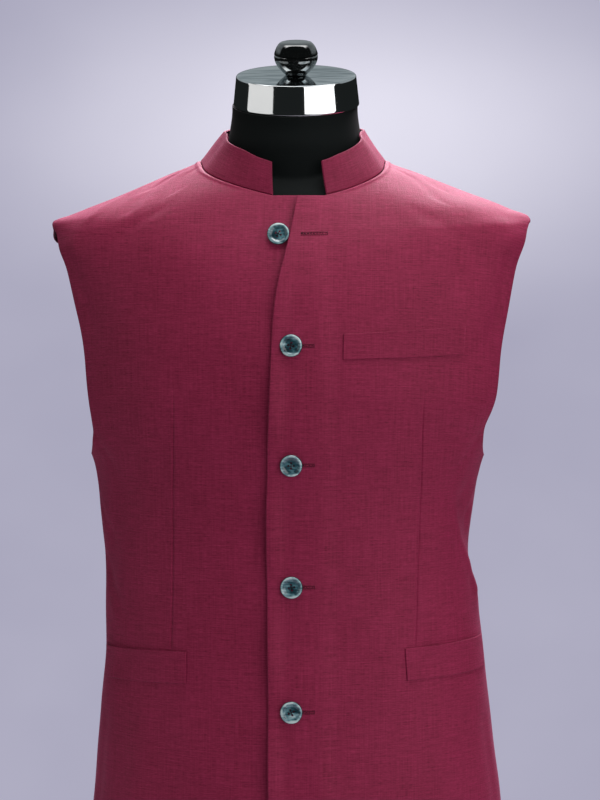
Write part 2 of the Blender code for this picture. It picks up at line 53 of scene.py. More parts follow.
def curve_through(knots, values):
    """Return a smooth function through the values at the knots, which never overshoots between them."""
    knots = np.array(knots, float)
    values = np.array(values, float)
    steps = np.diff(knots)
    slopes = np.diff(values) / steps
    product = slopes[:-1] * slopes[1:]
    total = slopes[:-1] + slopes[1:]
    bends = np.where(product > 0, 2 * product / np.where(total == 0, 1, total), 0)
    tangents = np.concatenate([slopes[:1], bends, slopes[-1:]])

    def value_at(knot):
        index = np.clip(np.searchsorted(knots, knot) - 1, 0, len(steps) - 1)
        step = steps[index]
        share = np.clip((knot - knots[index]) / step, 0, 1)
        rest = 1 - share
        return (values[index] * (1 + 2 * share) * rest ** 2
                + tangents[index] * step * share * rest ** 2
                + values[index + 1] * (3 - 2 * share) * share ** 2
                - tangents[index + 1] * step * rest * share ** 2)

    return value_at


def table_curves(rows, unit=1000):
    """Return one smooth function for each column of a table in millimetres, over its first column."""
    columns = np.array(rows, float).T / unit
    return [curve_through(columns[0], column) for column in columns[1:]]


def ease(share):
    """Rise smoothly from 0 to 1."""
    share = np.clip(share, 0, 1)
    return share * share * (3 - 2 * share)


# Outside of the cloth: height, right half width, left half width, depth in front and behind (mm)
right_half, left_half, front_depth, back_depth = table_curves([
    (286, 197.5, 198.5, 129, 128), (345, 194, 195.8, 127.5, 127), (405, 187.2, 190.3, 126, 125),
    (440, 183.8, 186.3, 125, 122.5), (495, 180, 180, 122.5, 116), (551, 175, 173.2, 120, 107),
    (590, 174.8, 168, 118.7, 101.5), (620, 175.2, 163.6, 118.2, 98.8), (650, 176.9, 161.2, 118.8, 99),
    (682, 180.2, 164, 120.8, 102), (713, 183.8, 170, 124, 106.2), (745, 194.5, 182.5, 128, 111),
    (787, 205, 202.5, 131.2, 116), (828, 208, 206.2, 129, 118.5), (868, 214, 210.6, 121.8, 118),
    (900, 219, 213.4, 112.3, 115), (918, 220.2, 214.8, 105, 111.5), (931, 218.2, 212.5, 98.2, 108.2),
    (941, 210.8, 201.2, 92.4, 104.8), (950, 194.5, 186.8, 87.2, 101), (962.9, 162, 156, 79, 95.8),
    (970, 145, 140, 73, 92.5), (982, 116.8, 113.3, 61, 86.2), (994.5, 87, 83.8, 47, 78),
    (1003, 79, 76, 40, 71.8), (1012, 72.5, 70, 34, 65)])
# How much further out the shoulder seams reach (mm): height, reach
ridge_reach, = table_curves([
    (905, 0), (918, 1.2), (931, 4.5), (940.5, 9.8), (945.5, 2.8), (951, 0.4), (955, 0)])
RIDGE_ANGLE = 24.0
# The shoulders' line tilts: how much its ends rise at the wearer's right and left, and where the tilt
# sets in, by the distance from the middle and by height
TILT_RIGHT, TILT_LEFT = -0.0015, 0.0045
TILT_ASIDE, TILT_ASIDE_SPAN = 0.07, 0.13
TILT_HEIGHT, TILT_HEIGHT_SPAN = 0.88, 0.05
# Front edges (mm): height, x of the left one, x of the right one
left_edge_x, right_edge_x = table_curves([
    (286, -19.5, 19.5), (606, -18.8, 19.5), (714, -18.3, 19.5), (810, -16.4, 19.5), (842, -15.3, 19),
    (865, -13.5, 17.5), (891, -9.5, 15), (918, -3.5, 12), (940, 1, 10.5), (962.9, 4.6, 9)])


def body_points(angles, heights):
    """Return the places on the body's surface at angles and heights."""
    half = np.where(angles >= 0, left_half(heights), right_half(heights))
    half = half + ridge_reach(heights) * ease(1 - np.abs(np.abs(angles) - 90) / RIDGE_ANGLE)
    depth = np.where(np.abs(angles) <= 90, front_depth(heights), back_depth(heights))
    turn = np.radians(angles)
    across = half * np.sin(turn)
    aside = ease((np.abs(across) - TILT_ASIDE) / TILT_ASIDE_SPAN)
    above = ease((heights - TILT_HEIGHT) / TILT_HEIGHT_SPAN)
    lift = np.where(angles >= 0, TILT_LEFT, TILT_RIGHT) * aside * above
    return np.stack([across, -depth * np.cos(turn), heights + lift], axis=-1)


def unit(vectors):
    """Return directions, which are vectors brought to length 1."""
    return vectors / np.linalg.norm(vectors, axis=-1, keepdims=True)


def one_degree(angles, heights):
    """Return the way along the surface from half a degree before places to half a degree past them."""
    return body_points(angles + 0.5, heights) - body_points(angles - 0.5, heights)


def body_normals(angles, heights):
    """Return the directions straight out of the body's surface."""
    upward = body_points(angles, heights + 0.001) - body_points(angles, heights - 0.001)
    return unit(np.cross(one_degree(angles, heights), upward))


def cloth_points(angles, heights, rise, lap):
    """Return places a rise above the body's surface, and a lap further straight out from its middle."""
    normals = body_normals(angles, heights)
    return body_points(angles, heights) + normals * (rise[..., None] + lap[..., None] * (1, 1, 0))


# Folds and creases: angles of both ends, and in mm the heights there, the width, and how far it stands out
FOLDS = [
    (70, 88, 690, 630, 16, -3), (56, 84, 655, 600, 20, 2.5), (-82, -64, 912, 916, 13, 2.6),
    (80, 66, 914, 918, 13, 2.4), (-58, -76, 690, 610, 24, -2.5), (-42, -60, 930, 850, 20, -2.2),
    (46, 60, 925, 840, 22, -1.8), (-50, -76, 790, 700, 24, -2), (128, 116, 930, 800, 24, -2.5),
    (-130, -114, 925, 790, 24, -2.5), (140, 98, 665, 640, 18, -2.5), (-138, -96, 650, 622, 18, -2.2),
    (150, 142, 470, 300, 26, 3), (-148, -138, 470, 300, 26, 3)]
CREASES = [
    (-84, -64, 986, 970, 3.5, -1.4), (-66, -50, 978, 950, 6, -1.1), (-76, -62, 972, 945, 5.5, 0.9),
    (80, 64, 986, 968, 4, -1), (-58, -44, 984, 967, 4, -0.7), (-38, -50, 948, 915, 7, -0.8),
    (62, 50, 980, 957, 5, -0.7), (36, 52, 945, 905, 8, -0.7), (80, 60, 662, 640, 9, -0.7),
    (64, 82, 672, 604, 7, 1.8), (86, 76, 640, 612, 8, -0.8), (88, 78, 700, 672, 6, -0.9),
    (-86, -70, 690, 655, 7, -0.9), (-84, -64, 640, 590, 9, -1), (-80, -58, 605, 566, 8, 0.8),
    (-72, -62, 760, 720, 8, -0.8), (70, 60, 765, 715, 8, -0.8), (64, 60, 900, 840, 8, -0.9),
    (-65, -60, 905, 845, 8, -0.9), (6, 22, 780, 770, 7, -0.5), (-6, -24, 668, 676, 8, -0.5),
    (7, 26, 560, 548, 8, -0.5), (10, 20, 440, 300, 14, 1), (-14, -22, 450, 300, 14, 1),
    (46, 50, 510, 300, 16, 1.2), (-48, -54, 500, 300, 16, 1.2), (74, 78, 480, 320, 12, -1),
    (-72, -78, 480, 320, 12, -1), (118, 104, 700, 672, 7, -1), (-120, -104, 700, 668, 7, -1),
    (130, 108, 640, 612, 8, -1.1), (-132, -110, 636, 606, 8, -1.1), (146, 116, 602, 580, 9, 0.9),
    (-144, -118, 600, 574, 9, 0.9), (162, 140, 930, 905, 9, -0.9), (-160, -142, 926, 900, 9, -0.9),
    (172, 160, 985, 965, 6, -0.7), (-170, -158, 984, 962, 6, -0.7), (124, 122, 440, 300, 16, 1.1),
    (-122, -124, 450, 300, 16, 1.1)]
# Length of a degree of girth, as folds are laid out
DEGREE = 0.0030
# Soft ripples: how often they turn around and climb, where they start, how deep they are
RIPPLE_TURN, RIPPLE_CLIMB = 3, 2.2
RIPPLES = [(31, 12, 0.4, 0.00022), (17, -23, 1.9, 0.00026), (9, 41, 3.1, 0.00016), (44, 27, 5.2, 0.00010)]


def fold_rise(angles, heights):
    """Return how far the folds, creases and soft ripples push the cloth out at places."""
    rise = np.zeros(np.broadcast(angles, heights).shape)
    for angle_a, angle_b, *lengths in FOLDS + CREASES:
        height_a, height_b, width, depth = np.array(lengths) / 1000
        across = ((angle_b - angle_a) * DEGREE, height_b - height_a)
        offset = ((angles - angle_a) * DEGREE, heights - height_a)
        length = math.hypot(*across)
        along = (offset[0] * across[0] + offset[1] * across[1]) / length ** 2
        beside = (offset[0] * across[1] - offset[1] * across[0]) / length
        past = np.maximum(0, np.maximum(-along, along - 1)) * length
        rise += depth * np.exp(-(beside ** 2 + past ** 2) / width ** 2)
    for turns, climbs, start, depth in RIPPLES:
        phase = np.radians(angles) * turns / RIPPLE_TURN + heights * climbs * RIPPLE_CLIMB + start
        rise += depth * np.sin(phase)
    return rise


CLOTH = 0.0020
SEAM_GAP = 0.0003
# Side seam, armhole and shoulder seam: angle in front, angle behind, height, and the height on the centre
# line in front and behind of the row of cloth that ends there
SIDE_HEIGHTS = [0.286, 0.322, 0.360, 0.397, 0.433, 0.467, 0.499, 0.529, 0.557, 0.585, 0.613, 0.641, 0.668,
                0.697]
SIDE_ROWS = [(90, 90, height, height, height) for height in SIDE_HEIGHTS] + [
    (90, 90, 0.724, 0.724, 0.724), (82, 97, 0.7275, 0.74, 0.74), (75, 103.5, 0.735, 0.757, 0.758),
    (70, 108, 0.747, 0.775, 0.777), (66.5, 111, 0.765, 0.794, 0.797), (65.2, 112.5, 0.787, 0.814, 0.818),
    (65.6, 112.8, 0.81, 0.834, 0.84), (66.6, 112.3, 0.835, 0.854, 0.863),
    (68.2, 111, 0.868, 0.877, 0.888), (70.6, 108.5, 0.898, 0.898, 0.911),
    (74.5, 104.5, 0.918, 0.914, 0.928), (81, 98, 0.932, 0.924, 0.94), (90, 90, 0.9405, 0.93, 0.949),
    (90, 90, 0.95, 0.9345, 0.957), (90, 90, 0.96, 0.9395, 0.965), (90, 90, 0.97, 0.9445, 0.9735),
    (90, 90, 0.979, 0.9495, 0.982), (90, 90, 0.987, 0.9555, 0.992), (90, 90, 0.9945, 0.9629, 1.003)]
ARMPIT_ROW, TIP_ROW, NECK_ROW, BEND_ROW = 14, 26, 32, 20
COLLAR_START = 0.10
row_curves = table_curves([(index, *row) for index, row in enumerate(SIDE_ROWS)], unit=1)


def row_values(place):
    """Return what the rows' table says between its rows: smooth, and straight up to the shoulder."""
    straight = (place > TIP_ROW - 1) & (place < TIP_ROW)
    return [np.where(straight, np.interp(place, np.arange(len(SIDE_ROWS)), column), curve(place))
            for column, curve in zip(zip(*SIDE_ROWS), row_curves)]


EDGE_ROLL = np.array([0, 0.00010, 0.00030, 0.00060, 0.00100])
DART_BAND = np.array([-0.0032, -0.0018, -0.0009, -0.0004, 0, 0.0004, 0.0009, 0.0018, 0.0032])
# How far apart the table's rows are at the hem and at the neckline
HEM_ROW_HEIGHT, NECK_ROW_HEIGHT = 0.036, 0.0085
# The panels' own rows: ten to a row of the table below the armpit, six along the armhole, four over the
# shoulder, and close ones at the hem and up to the neckline
rows = np.concatenate([EDGE_ROLL / HEM_ROW_HEIGHT, np.arange(0.1, ARMPIT_ROW, 0.1),
                       np.arange(ARMPIT_ROW, TIP_ROW, 1 / 6), np.arange(TIP_ROW, NECK_ROW - 0.7, 0.25),
                       np.arange(NECK_ROW - 0.6, NECK_ROW - 0.13, 0.06),
                       NECK_ROW - EDGE_ROLL[::-1] / NECK_ROW_HEIGHT])
from_neckline = ((NECK_ROW - rows) * NECK_ROW_HEIGHT)[:, None]
edge_distance = np.minimum((rows * HEM_ROW_HEIGHT)[:, None], from_neckline)


def degrees_per_metre(angles, heights):
    """Return how many degrees a metre along the body's girth takes."""
    return 1 / np.linalg.norm(one_degree(angles, heights), axis=-1)


def front_start(side, centre):
    """Return how far a front's edge is turned from the centre front, towards its own side."""
    edge_x = left_edge_x(centre) if side > 0 else right_edge_x(centre)
    return np.degrees(np.arcsin(edge_x / left_half(centre))) * side


def collar_sweep(share):
    """Rise of a front's neckline, as a share: it starts level and sweeps up to the shoulder."""
    return np.sin(np.radians(90) * np.maximum(0, share - COLLAR_START) / (1 - COLLAR_START))


# Above this height a dart's column stays at one share of the panel's width
DART_HELD = 0.81
DART_PASSES = 5


def panel_places(side, back, dart_x, columns_in, columns_out):
    """Return angles and heights of a panel's places, the distance to its nearest edge and to its dart."""
    front_angle, back_angle, end_height, front_centre, back_centre = row_values(rows)
    centre = back_centre if back else front_centre
    if back:
        start = 180 - 0.5 * SEAM_GAP * degrees_per_metre(179.0 * side, centre)
        end = back_angle
    else:
        start = front_start(side, centre)
        end = front_angle
    inset = 0.5 * SEAM_GAP * degrees_per_metre(90.0 * side, end_height)
    on_seam = (rows <= ARMPIT_ROW) | (rows >= TIP_ROW)
    end = end + np.where(on_seam, inset, 0) * (1 if back else -1)
    bend = ease((rows - BEND_ROW) / (NECK_ROW - BEND_ROW))[:, None]

    def height_at(share):
        rise = ease(share) if back else (1 - bend) * share + bend * collar_sweep(share)
        return centre[:, None] + (end_height - centre)[:, None] * rise

    dart_share = np.full((len(rows), 1), 0.5)
    half = left_half if side > 0 else right_half
    for _ in range(DART_PASSES):
        heights = height_at(dart_share)
        dart_angle = np.degrees(np.arcsin(np.clip(dart_x(heights) / half(heights), 0, 0.97)))
        dart_angle = 180 - dart_angle if back else dart_angle
        dart_share = (dart_angle - start[:, None]) / (end - start)[:, None]
    held = np.argmax(height_at(dart_share)[:, 0] > DART_HELD)
    dart_share[held:] = dart_share[held]
    width = np.abs(end - start)[:, None]
    metre = degrees_per_metre(side * (start + end) / 2, centre)[:, None] / width
    known = np.concatenate([EDGE_ROLL * metre, dart_share + DART_BAND * metre, 1 - EDGE_ROLL[::-1] * metre],
                           axis=1)
    in_roll, in_band = [1] * (len(EDGE_ROLL) - 1), [1] * (len(DART_BAND) - 1)
    keys = np.cumsum([0] + in_roll + [columns_in] + in_band + [columns_out] + in_roll)
    steps = np.arange(keys[-1] + 1)
    shares = np.stack([np.interp(steps, keys, row) for row in known])
    angles = side * (start[:, None] + (end - start)[:, None] * shares)
    heights = height_at(shares)
    from_side = np.minimum(shares, 1 - shares) / metre
    from_dart = (shares - dart_share) / metre
    return angles, heights, np.minimum(from_side, edge_distance), from_dart


# Where the tables of the weave are worked out: heights, degrees from the centre line, metres from it
GRAIN_HEIGHTS = np.linspace(0.282, 1.012, 184)
GRAIN_SWINGS = np.linspace(0, 100, 101)
GRAIN_THREADS = np.linspace(0, 0.34, 69)


def grain_tables(back):
    """Return for both sides the lengths around from the centre line, and those up along the threads."""
    tables = {}
    for side in (-1, 1):
        angles = side * (180 - GRAIN_SWINGS) if back else side * GRAIN_SWINGS
        points = body_points(angles[None, :], GRAIN_HEIGHTS[:, None])
        around = np.cumsum(np.linalg.norm(np.diff(points, axis=1, prepend=points[:, :1]), axis=-1), axis=1)
        along = np.stack([[np.interp(GRAIN_THREADS, lengths, line[:, axis]) for axis in range(3)]
                          for lengths, line in zip(around, points)])
        climb = np.linalg.norm(np.diff(along, axis=0, prepend=along[:1]), axis=1)
        tables[side] = (around, np.cumsum(climb, axis=0))
    return tables


def look_up(table, column_keys, height, column):
    """Read a table of the weave between its rows, which are heights, and its columns."""
    r = np.interp(height, GRAIN_HEIGHTS, np.arange(len(GRAIN_HEIGHTS)))
    c = np.interp(column, column_keys, np.arange(len(column_keys)))
    r0 = np.minimum(r.astype(int), len(GRAIN_HEIGHTS) - 2)
    c0 = np.minimum(c.astype(int), len(column_keys) - 2)
    r, c = r - r0, c - c0
    return ((1 - r) * ((1 - c) * table[r0, c0] + c * table[r0, c0 + 1])
            + r * ((1 - c) * table[r0 + 1, c0] + c * table[r0 + 1, c0 + 1]))


front_grain = grain_tables(False)
back_grain = grain_tables(True)


def grain(angles, heights):
    """Return the place in the cloth of places on the body: across its threads and along them, in metres."""
    across = np.zeros(angles.shape)
    along = np.zeros(angles.shape)
    for tables, behind in ((front_grain, False), (back_grain, True)):
        for side in (-1, 1):
            here = ((np.abs(angles) > 90) == behind) & ((angles >= 0) == (side > 0))
            around, climb = tables[side]
            swung = np.abs(angles[here])
            swung = 180 - swung if behind else swung
            from_centre = look_up(around, GRAIN_SWINGS, heights[here], swung)
            across[here] = from_centre * side
            along[here] = look_up(climb, GRAIN_THREADS, heights[here], from_centre)
    return across, along


def new_piece(name, bm, materials, sharp=None):
    """Turn a bmesh into a shown piece on the part's one body. Its edges are sharp from an angle on."""
    mesh = bpy.data.meshes.new(name)
    bm.to_mesh(mesh)
    bm.free()
    for material in materials:
        mesh.materials.append(material)
    mesh.shade_smooth()
    if sharp:
        mesh.set_sharp_from_angle(angle=math.radians(sharp))
    piece = bpy.data.objects.new(name, mesh)
    bpy.context.scene.collection.objects.link(piece)
    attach(piece, "root")
    return piece


def add_grid(bm, points):
    """Add a grid of faces through rows and columns of places, and return its vertices."""
    row_count, column_count = points.shape[:2]
    grid = bmesh.ops.create_grid(bm, x_segments=column_count - 1, y_segments=row_count - 1, size=1)
    for vertex, point in zip(grid["verts"], points.reshape(-1, 3)):
        vertex.co = point
    return grid["verts"]


def paint(vertices, material):
    """Give the faces at vertices one of their piece's materials."""
    for face in {face for vertex in vertices for face in vertex.link_faces}:
        face.material_index = material


def cloth_wall(name, middle, normals, halves, across, along, materials):
    """Make a closed wall of cloth about a grid of places, with its grain as a UV map in metres."""
    bm = bmesh.new()
    uv_layer = bm.loops.layers.uv.new("grain")
    add_grid(bm, middle + normals * halves[..., None])
    paint(add_grid(bm, middle - normals * halves[..., None]), len(materials) - 1)
    bmesh.ops.bridge_loops(bm, edges=[edge for edge in bm.edges if edge.is_boundary])
    bmesh.ops.recalc_face_normals(bm, faces=bm.faces)
    bm.verts.index_update()
    places = np.tile(np.stack([across, along], axis=-1).reshape(-1, 2), (2, 1)).tolist()
    for face in bm.faces:
        for loop in face.loops:
            loop[uv_layer].uv = places[loop.vert.index]
    return new_piece(name, bm, materials)


RIM_FLAT = 0.02


def rolled(distance, radius):
    """Return how thick the cloth is near an edge, as a share: rounded over a radius, with a flat rim."""
    share = np.clip(1 - distance / radius, 0, 1)
    return np.sqrt(np.maximum(1 - share ** 2, RIM_FLAT))


def bell(distance, width):
    """Return a smooth hump over a distance from its middle."""
    return np.exp(-(distance / width) ** 2)


EDGE_RADIUS = 0.0009
# A dart is a pressed groove between soft swells, which fades out at its top and foot
DART_DEPTH, DART_WIDTH = 0.0011, 0.0007
DART_SWELL, DART_SWELL_WIDTH = 0.0003, 0.0045
DART_TOP_FADE, DART_FOOT_FADE = 0.05, 0.004
# The neckline's seam lies in a low ridge, which starts some degrees from the centre
RIDGE_RISE, RIDGE_BELOW, RIDGE_WIDTH = 0.0007, 0.0015, 0.0009
RIDGE_START, RIDGE_SPAN = 10, 14


def make_panel(name, side, back, dart, columns_in, columns_out, rise_at, materials):
    """Make a front or a back half, with its dart pressed in and its edges rolled."""
    dart_x, dart_top, dart_foot = dart
    angles, heights, from_edge, from_dart = panel_places(side, back, dart_x, columns_in, columns_out)
    normals = body_normals(angles, heights)
    fade = ease((dart_top - heights) / DART_TOP_FADE) * ease((heights - dart_foot) / DART_FOOT_FADE)
    groove = DART_SWELL * bell(from_dart, DART_SWELL_WIDTH) - DART_DEPTH * bell(from_dart, DART_WIDTH)
    ridge = RIDGE_RISE * bell(from_neckline - RIDGE_BELOW, RIDGE_WIDTH)
    ridge = ridge * ease((np.abs(angles) - RIDGE_START) / RIDGE_SPAN)
    rise = fold_rise(angles, heights) + groove * fade + ridge - CLOTH / 2
    middle = cloth_points(angles, heights, rise, rise_at(angles, heights))
    halves = CLOTH / 2 * rolled(from_edge, EDGE_RADIUS)
    across, along = grain(angles, heights)
    return cloth_wall(name, middle, normals, halves, across, along, materials)


# The left front's lap: its rise, and how far past the right one's edge it sinks to the body again
LAP_RISE, LAP_PAST, LAP_SPAN = CLOTH + 0.0005, 0.006, 0.018
# It falls open above the second button: how far its edge stands off, from which height, and how wide
OPEN_RISE, OPEN_HEIGHT, OPEN_SPAN, OPEN_WIDTH = 0.0052, 0.850, 0.070, 0.034
# Below, its edge stands off a little between the buttons, and less at them
STAND_RISE, STAND_WIDTH, STAND_MEAN, STAND_SWING = 0.0058, 0.017, 0.65, 0.35
BUTTON_PITCH = 0.1081
BUTTON_HEIGHTS = [0.9274, 0.8316, 0.7266, 0.6179, 0.5073]


def lap_rise(angles, heights):
    """Rise of the left front: it lies on the right one, and its edge stands off where it falls open."""
    x = body_points(angles, heights)[..., 0]
    lap = LAP_RISE * (1 - ease((x - right_edge_x(heights) - LAP_PAST) / LAP_SPAN))
    from_edge = x - left_edge_x(heights)
    open_share = ease((heights - OPEN_HEIGHT) / OPEN_SPAN) * (1 - ease(from_edge / OPEN_WIDTH))
    between = STAND_MEAN - STAND_SWING * np.cos((heights - BUTTON_HEIGHTS[-1]) * 2 * math.pi / BUTTON_PITCH)
    stand = STAND_RISE * between * (1 - open_share) * (1 - ease(from_edge / STAND_WIDTH))
    return lap + OPEN_RISE * open_share + stand


class Wire:
    """An output of a node. Python's operators on it add the Math nodes that work them out."""

    def __init__(self, nodes, socket):
        self.nodes = nodes
        self.socket = socket

    def math(self, operation, first, second):
        return self.nodes.node("Math", {"operation": operation}, {0: first, 1: second})

    def __add__(self, other):
        return self.math("ADD", self, other)

    def __sub__(self, other):
        return self.math("SUBTRACT", self, other)

    def __rsub__(self, other):
        return self.math("SUBTRACT", other, self)

    def __mul__(self, other):
        return self.math("MULTIPLY", self, other)


class Nodes:
    """A node tree, and the calls that add to it."""

    def __init__(self, tree):
        self.tree = tree

    def node(self, kind, settings, values, output=0):
        """Add a node: its settings are set first, then the values or wires of its sockets."""
        made = self.tree.nodes.new("ShaderNode" + kind)
        for name, setting in settings.items():
            if name == "stops":
                elements = made.color_ramp.elements
                elements.remove(elements[1])
                elements[0].position, elements[0].color = setting[0]
                for position, colour in setting[1:]:
                    elements.new(position).color = colour
            else:
                setattr(made, name, setting)
        for name, value in values.items():
            if isinstance(value, Wire):
                self.tree.links.new(value.socket, made.inputs[name])
            else:
                made.inputs[name].default_value = value
        return Wire(self, made.outputs[output])

    def mix(self, share, first, second):
        """Mix two colours by a share."""
        return self.node("Mix", {"data_type": "RGBA"}, {0: share, 6: first, 7: second}, 2)

    def scaled(self, vector, scale):
        """Stretch a pattern's coordinates."""
        return self.node("Mapping", {}, {"Vector": vector, "Scale": scale})

    def own_place(self):
        """Read an object's own coordinates."""
        return self.node("TexCoord", {}, {}, 3)

    def axis(self, vector, index):
        """Read one axis of a vector."""
        return self.node("SeparateXYZ", {}, {0: vector}, index)

    def ramp(self, value, start, end, low=0.0, high=1.0, kind="SMOOTHSTEP"):
        """Go from a low to a high value while another one goes from start to end."""
        return self.node("MapRange", {"interpolation_type": kind}, {
            "Value": value, "From Min": start, "From Max": end, "To Min": low, "To Max": high})

    def noise(self, vector, scale, detail=2.0):
        """Add noise with a scale for each axis."""
        place = self.scaled(vector, scale)
        return self.node("TexNoise", {}, {"Vector": place, "Scale": 1.0, "Detail": detail})


class Finish(Nodes):
    """A material with a Principled shader, and the nodes that feed it."""

    def __init__(self, name, **constants):
        self.material = bpy.data.materials.new(name)
        self.material.use_nodes = True
        super().__init__(self.material.node_tree)
        self.shader = self.tree.nodes["Principled BSDF"]
        for socket, value in constants.items():
            self.shader.inputs[socket.replace("_", " ")].default_value = value

    def feed(self, socket, wire):
        """Join a wire to a socket of the shader."""
        self.tree.links.new(wire.socket, self.shader.inputs[socket])

    def bump(self, strength, distance, height):
        """Give the surface the relief of a height."""
        self.feed("Normal", self.node("Bump", {}, {
            "Strength": strength, "Distance": distance, "Height": height}))


THREAD_PITCH = 0.00062


def slub_cloth(name, dark, light, haze):
    """Make slub cloth: uneven threads run both ways, and paler fibres catch the light."""
    finish = Finish(name, Roughness=0.66, Specular_IOR_Level=0.2, Sheen_Weight=0.11, Sheen_Roughness=0.3,
                    Sheen_Tint=haze)
    place = finish.node("UVMap", {"uv_map": "grain"}, {})
    weft = finish.noise(place, (42, 900, 1), 3.0)
    warp = finish.noise(place, (720, 26, 1), 3.0)
    fleck = finish.noise(place, (240, 1300, 1), 1.0)
    cloud = finish.noise(place, (11, 11, 1), 3.0)
    shade = weft - 0.5 + (warp - 0.5) * 0.55 + (fleck - 0.5) * 0.9 + (cloud - 0.5) * 0.3 + 0.5
    finish.feed("Base Color", finish.mix(shade, dark, light))
    across_wave, along_wave = [
        finish.node("Math", {"operation": "SINE"}, {0: finish.axis(place, axis) * (math.pi / THREAD_PITCH)})
        for axis in (0, 1)]
    finish.bump(0.45, 0.00028, across_wave * along_wave * 0.35 + (weft - 0.5) * 1.3 + (warp - 0.5) * 0.9)
    return finish.material


burgundy = slub_cloth("burgundy_cloth", (0.110, 0.0024, 0.0170, 1), (0.285, 0.0190, 0.0705, 1),
                      (1, 0.45, 0.72, 1))
lining = Finish("lining", Base_Color=(0.026, 0.0030, 0.0085, 1), Roughness=0.6,
                Specular_IOR_Level=0.12).material
# Each dart: its x at some heights, its top and its foot
LEFT_DART = (curve_through([0.56, 0.80], [0.1110, 0.1180]), 0.800, 0.5605)
left_front = make_panel("left_front_cloth", 1, False, LEFT_DART, 40, 34, lap_rise, (burgundy, lining))
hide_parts("left_front")


# --------------------------------------------------------------
# Right front
# The front with the buttons, which lies under the other one at the centre. Its cut, cloth and lining are
# the left front's turned over, without a breast pocket.

def no_rise(angles, heights):
    """Rise of a panel that lies straight on the body's surface."""
    return 0 * angles


RIGHT_DART = (curve_through([0.56, 0.80], [0.1070, 0.1030]), 0.800, 0.5580)
right_front = make_panel("right_front_cloth", -1, False, RIGHT_DART, 40, 34, no_rise, (burgundy, lining))
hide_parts("right_front")


# --------------------------------------------------------------
# Back halves
# Two halves of the same cloth, sewn together down the centre back and shaped at the waist by that seam
# and by one dart each. The photo doesn't show them, so they are plain.

# Where the armhole's edge falls open behind: rise, height and reach at the right and at the left, how much
# shorter it reaches downwards, and its angle and the width of that
FALL_OPEN = [(0.0112, 0.0022), (0.9222, 0.9345), (0.0115, 0.0050)]
FALL_SHORT, FALL_ANGLE, FALL_WIDTH = 0.6, 101, 11


def back_rise(angles, heights):
    """Rise of a back half: its armhole's edge falls open under the shoulder's tip, more on the right."""
    rise, middle, reach = [np.where(angles < 0, right, left) for right, left in FALL_OPEN]
    reach = np.where(heights < middle, reach * FALL_SHORT, reach)
    return rise * bell(np.abs(angles) - FALL_ANGLE, FALL_WIDTH) * bell(heights - middle, reach)


BACK_DART = (curve_through([0.45, 0.66, 0.82], [0.0860, 0.0780, 0.0900]), 0.820, 0.470)
for name, side in (("back_left", 1), ("back_right", -1)):
    back_half = make_panel(name + "_cloth", side, True, BACK_DART, 28, 46, back_rise, (burgundy, lining))
    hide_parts(name)


# --------------------------------------------------------------
# Collar
# A stand collar of two layers over stiff interlining, sewn to the neckline, with square ends that stay
# apart at the throat. The neckline's seam lies in a thin roll under it.

COLLAR_CLOTH = 0.0025
COLLAR_RADIUS = 0.0011
COLLAR_ROLL = EDGE_ROLL * 1.2
# How far in its foot stands, and how far from the left front's edge it starts, as a share of the front
COLLAR_INSET, COLLAR_LEFT_START = 0.0004, 0.012
# The collar's height and its lean in degrees, by the angle around the neck
collar_height = curve_through([0, 12, 22, 45, 65, 90, 180],
                              [0.0315, 0.0322, 0.0350, 0.0363, 0.0356, 0.0350, 0.0350])
collar_lean = curve_through([-180, -150, -118, -90, -65, -45, -22, -10, 10, 22, 45, 65, 90, 118, 150, 180],
                            [14, 26, 36, 39, 44, 38, 24, 20, 20, 26, 34, 41, 36, 34, 25, 14])
# How far the top of the right end is cut askew, away from the throat, and over which length
END_SLANT, END_SLANT_REACH = 0.0040, 0.018


def neckline(side, back, shares):
    """Return angles and heights along a panel's top edge."""
    top = np.full(shares.shape, NECK_ROW, float)
    end_height, front_centre, back_centre = row_values(top)[2:]
    if back:
        return side * (180 - 90 * shares), back_centre + (end_height - back_centre) * ease(shares)
    start = front_start(side, front_centre)
    heights = front_centre + (end_height - front_centre) * collar_sweep(shares)
    return side * (start + (90 - start) * shares), heights


front_shares = np.linspace(COLLAR_START, 1, 60)
left_shares = np.linspace(COLLAR_START + COLLAR_LEFT_START, 1, 60)
back_shares = np.linspace(0, 1, 62)[1:-1]
runs = [neckline(-1, False, front_shares), neckline(-1, True, back_shares[::-1]),
        (np.array([180.0]), np.array([SIDE_ROWS[NECK_ROW][-1]])), neckline(1, True, back_shares),
        neckline(1, False, left_shares[::-1])]
line_angles = np.concatenate([angles for angles, heights in runs])
line_heights = np.concatenate([heights for angles, heights in runs])
line_rise = np.where((line_angles > 0) & (line_angles < 90), lap_rise(line_angles, line_heights), 0)
line_points = cloth_points(line_angles, line_heights,
                           fold_rise(line_angles, line_heights) - COLLAR_INSET, line_rise)


def smooth_line(line, passes):
    """Even out the bends of a line of places or directions."""
    for _ in range(passes):
        line[1:-1] = (line[:-2] + 2 * line[1:-1] + line[2:]) / 4


LINE_PASSES, OUTWARD_PASSES, UPWARD_PASSES = 4, 120, 100
smooth_line(line_points, LINE_PASSES)
course = np.gradient(line_points, axis=0)
outward = np.stack([-course[:, 1], course[:, 0], 0 * course[:, 0]], axis=-1)
outward *= np.sign(outward[len(outward) // 2, 1])
smooth_line(outward, OUTWARD_PASSES)
outward = unit(outward)
lean = np.radians(collar_lean(line_angles))[:, None]
upward = np.array([0, 0, 1]) * np.cos(lean) - outward * np.sin(lean)
smooth_line(upward, UPWARD_PASSES)
upward = unit(upward)
facing = outward * upward[:, 2:] - np.array([0, 0, 1]) * np.sum(upward * outward, axis=-1, keepdims=True)
run = np.concatenate([[0], np.cumsum(np.linalg.norm(np.diff(line_points, axis=0), axis=-1))])
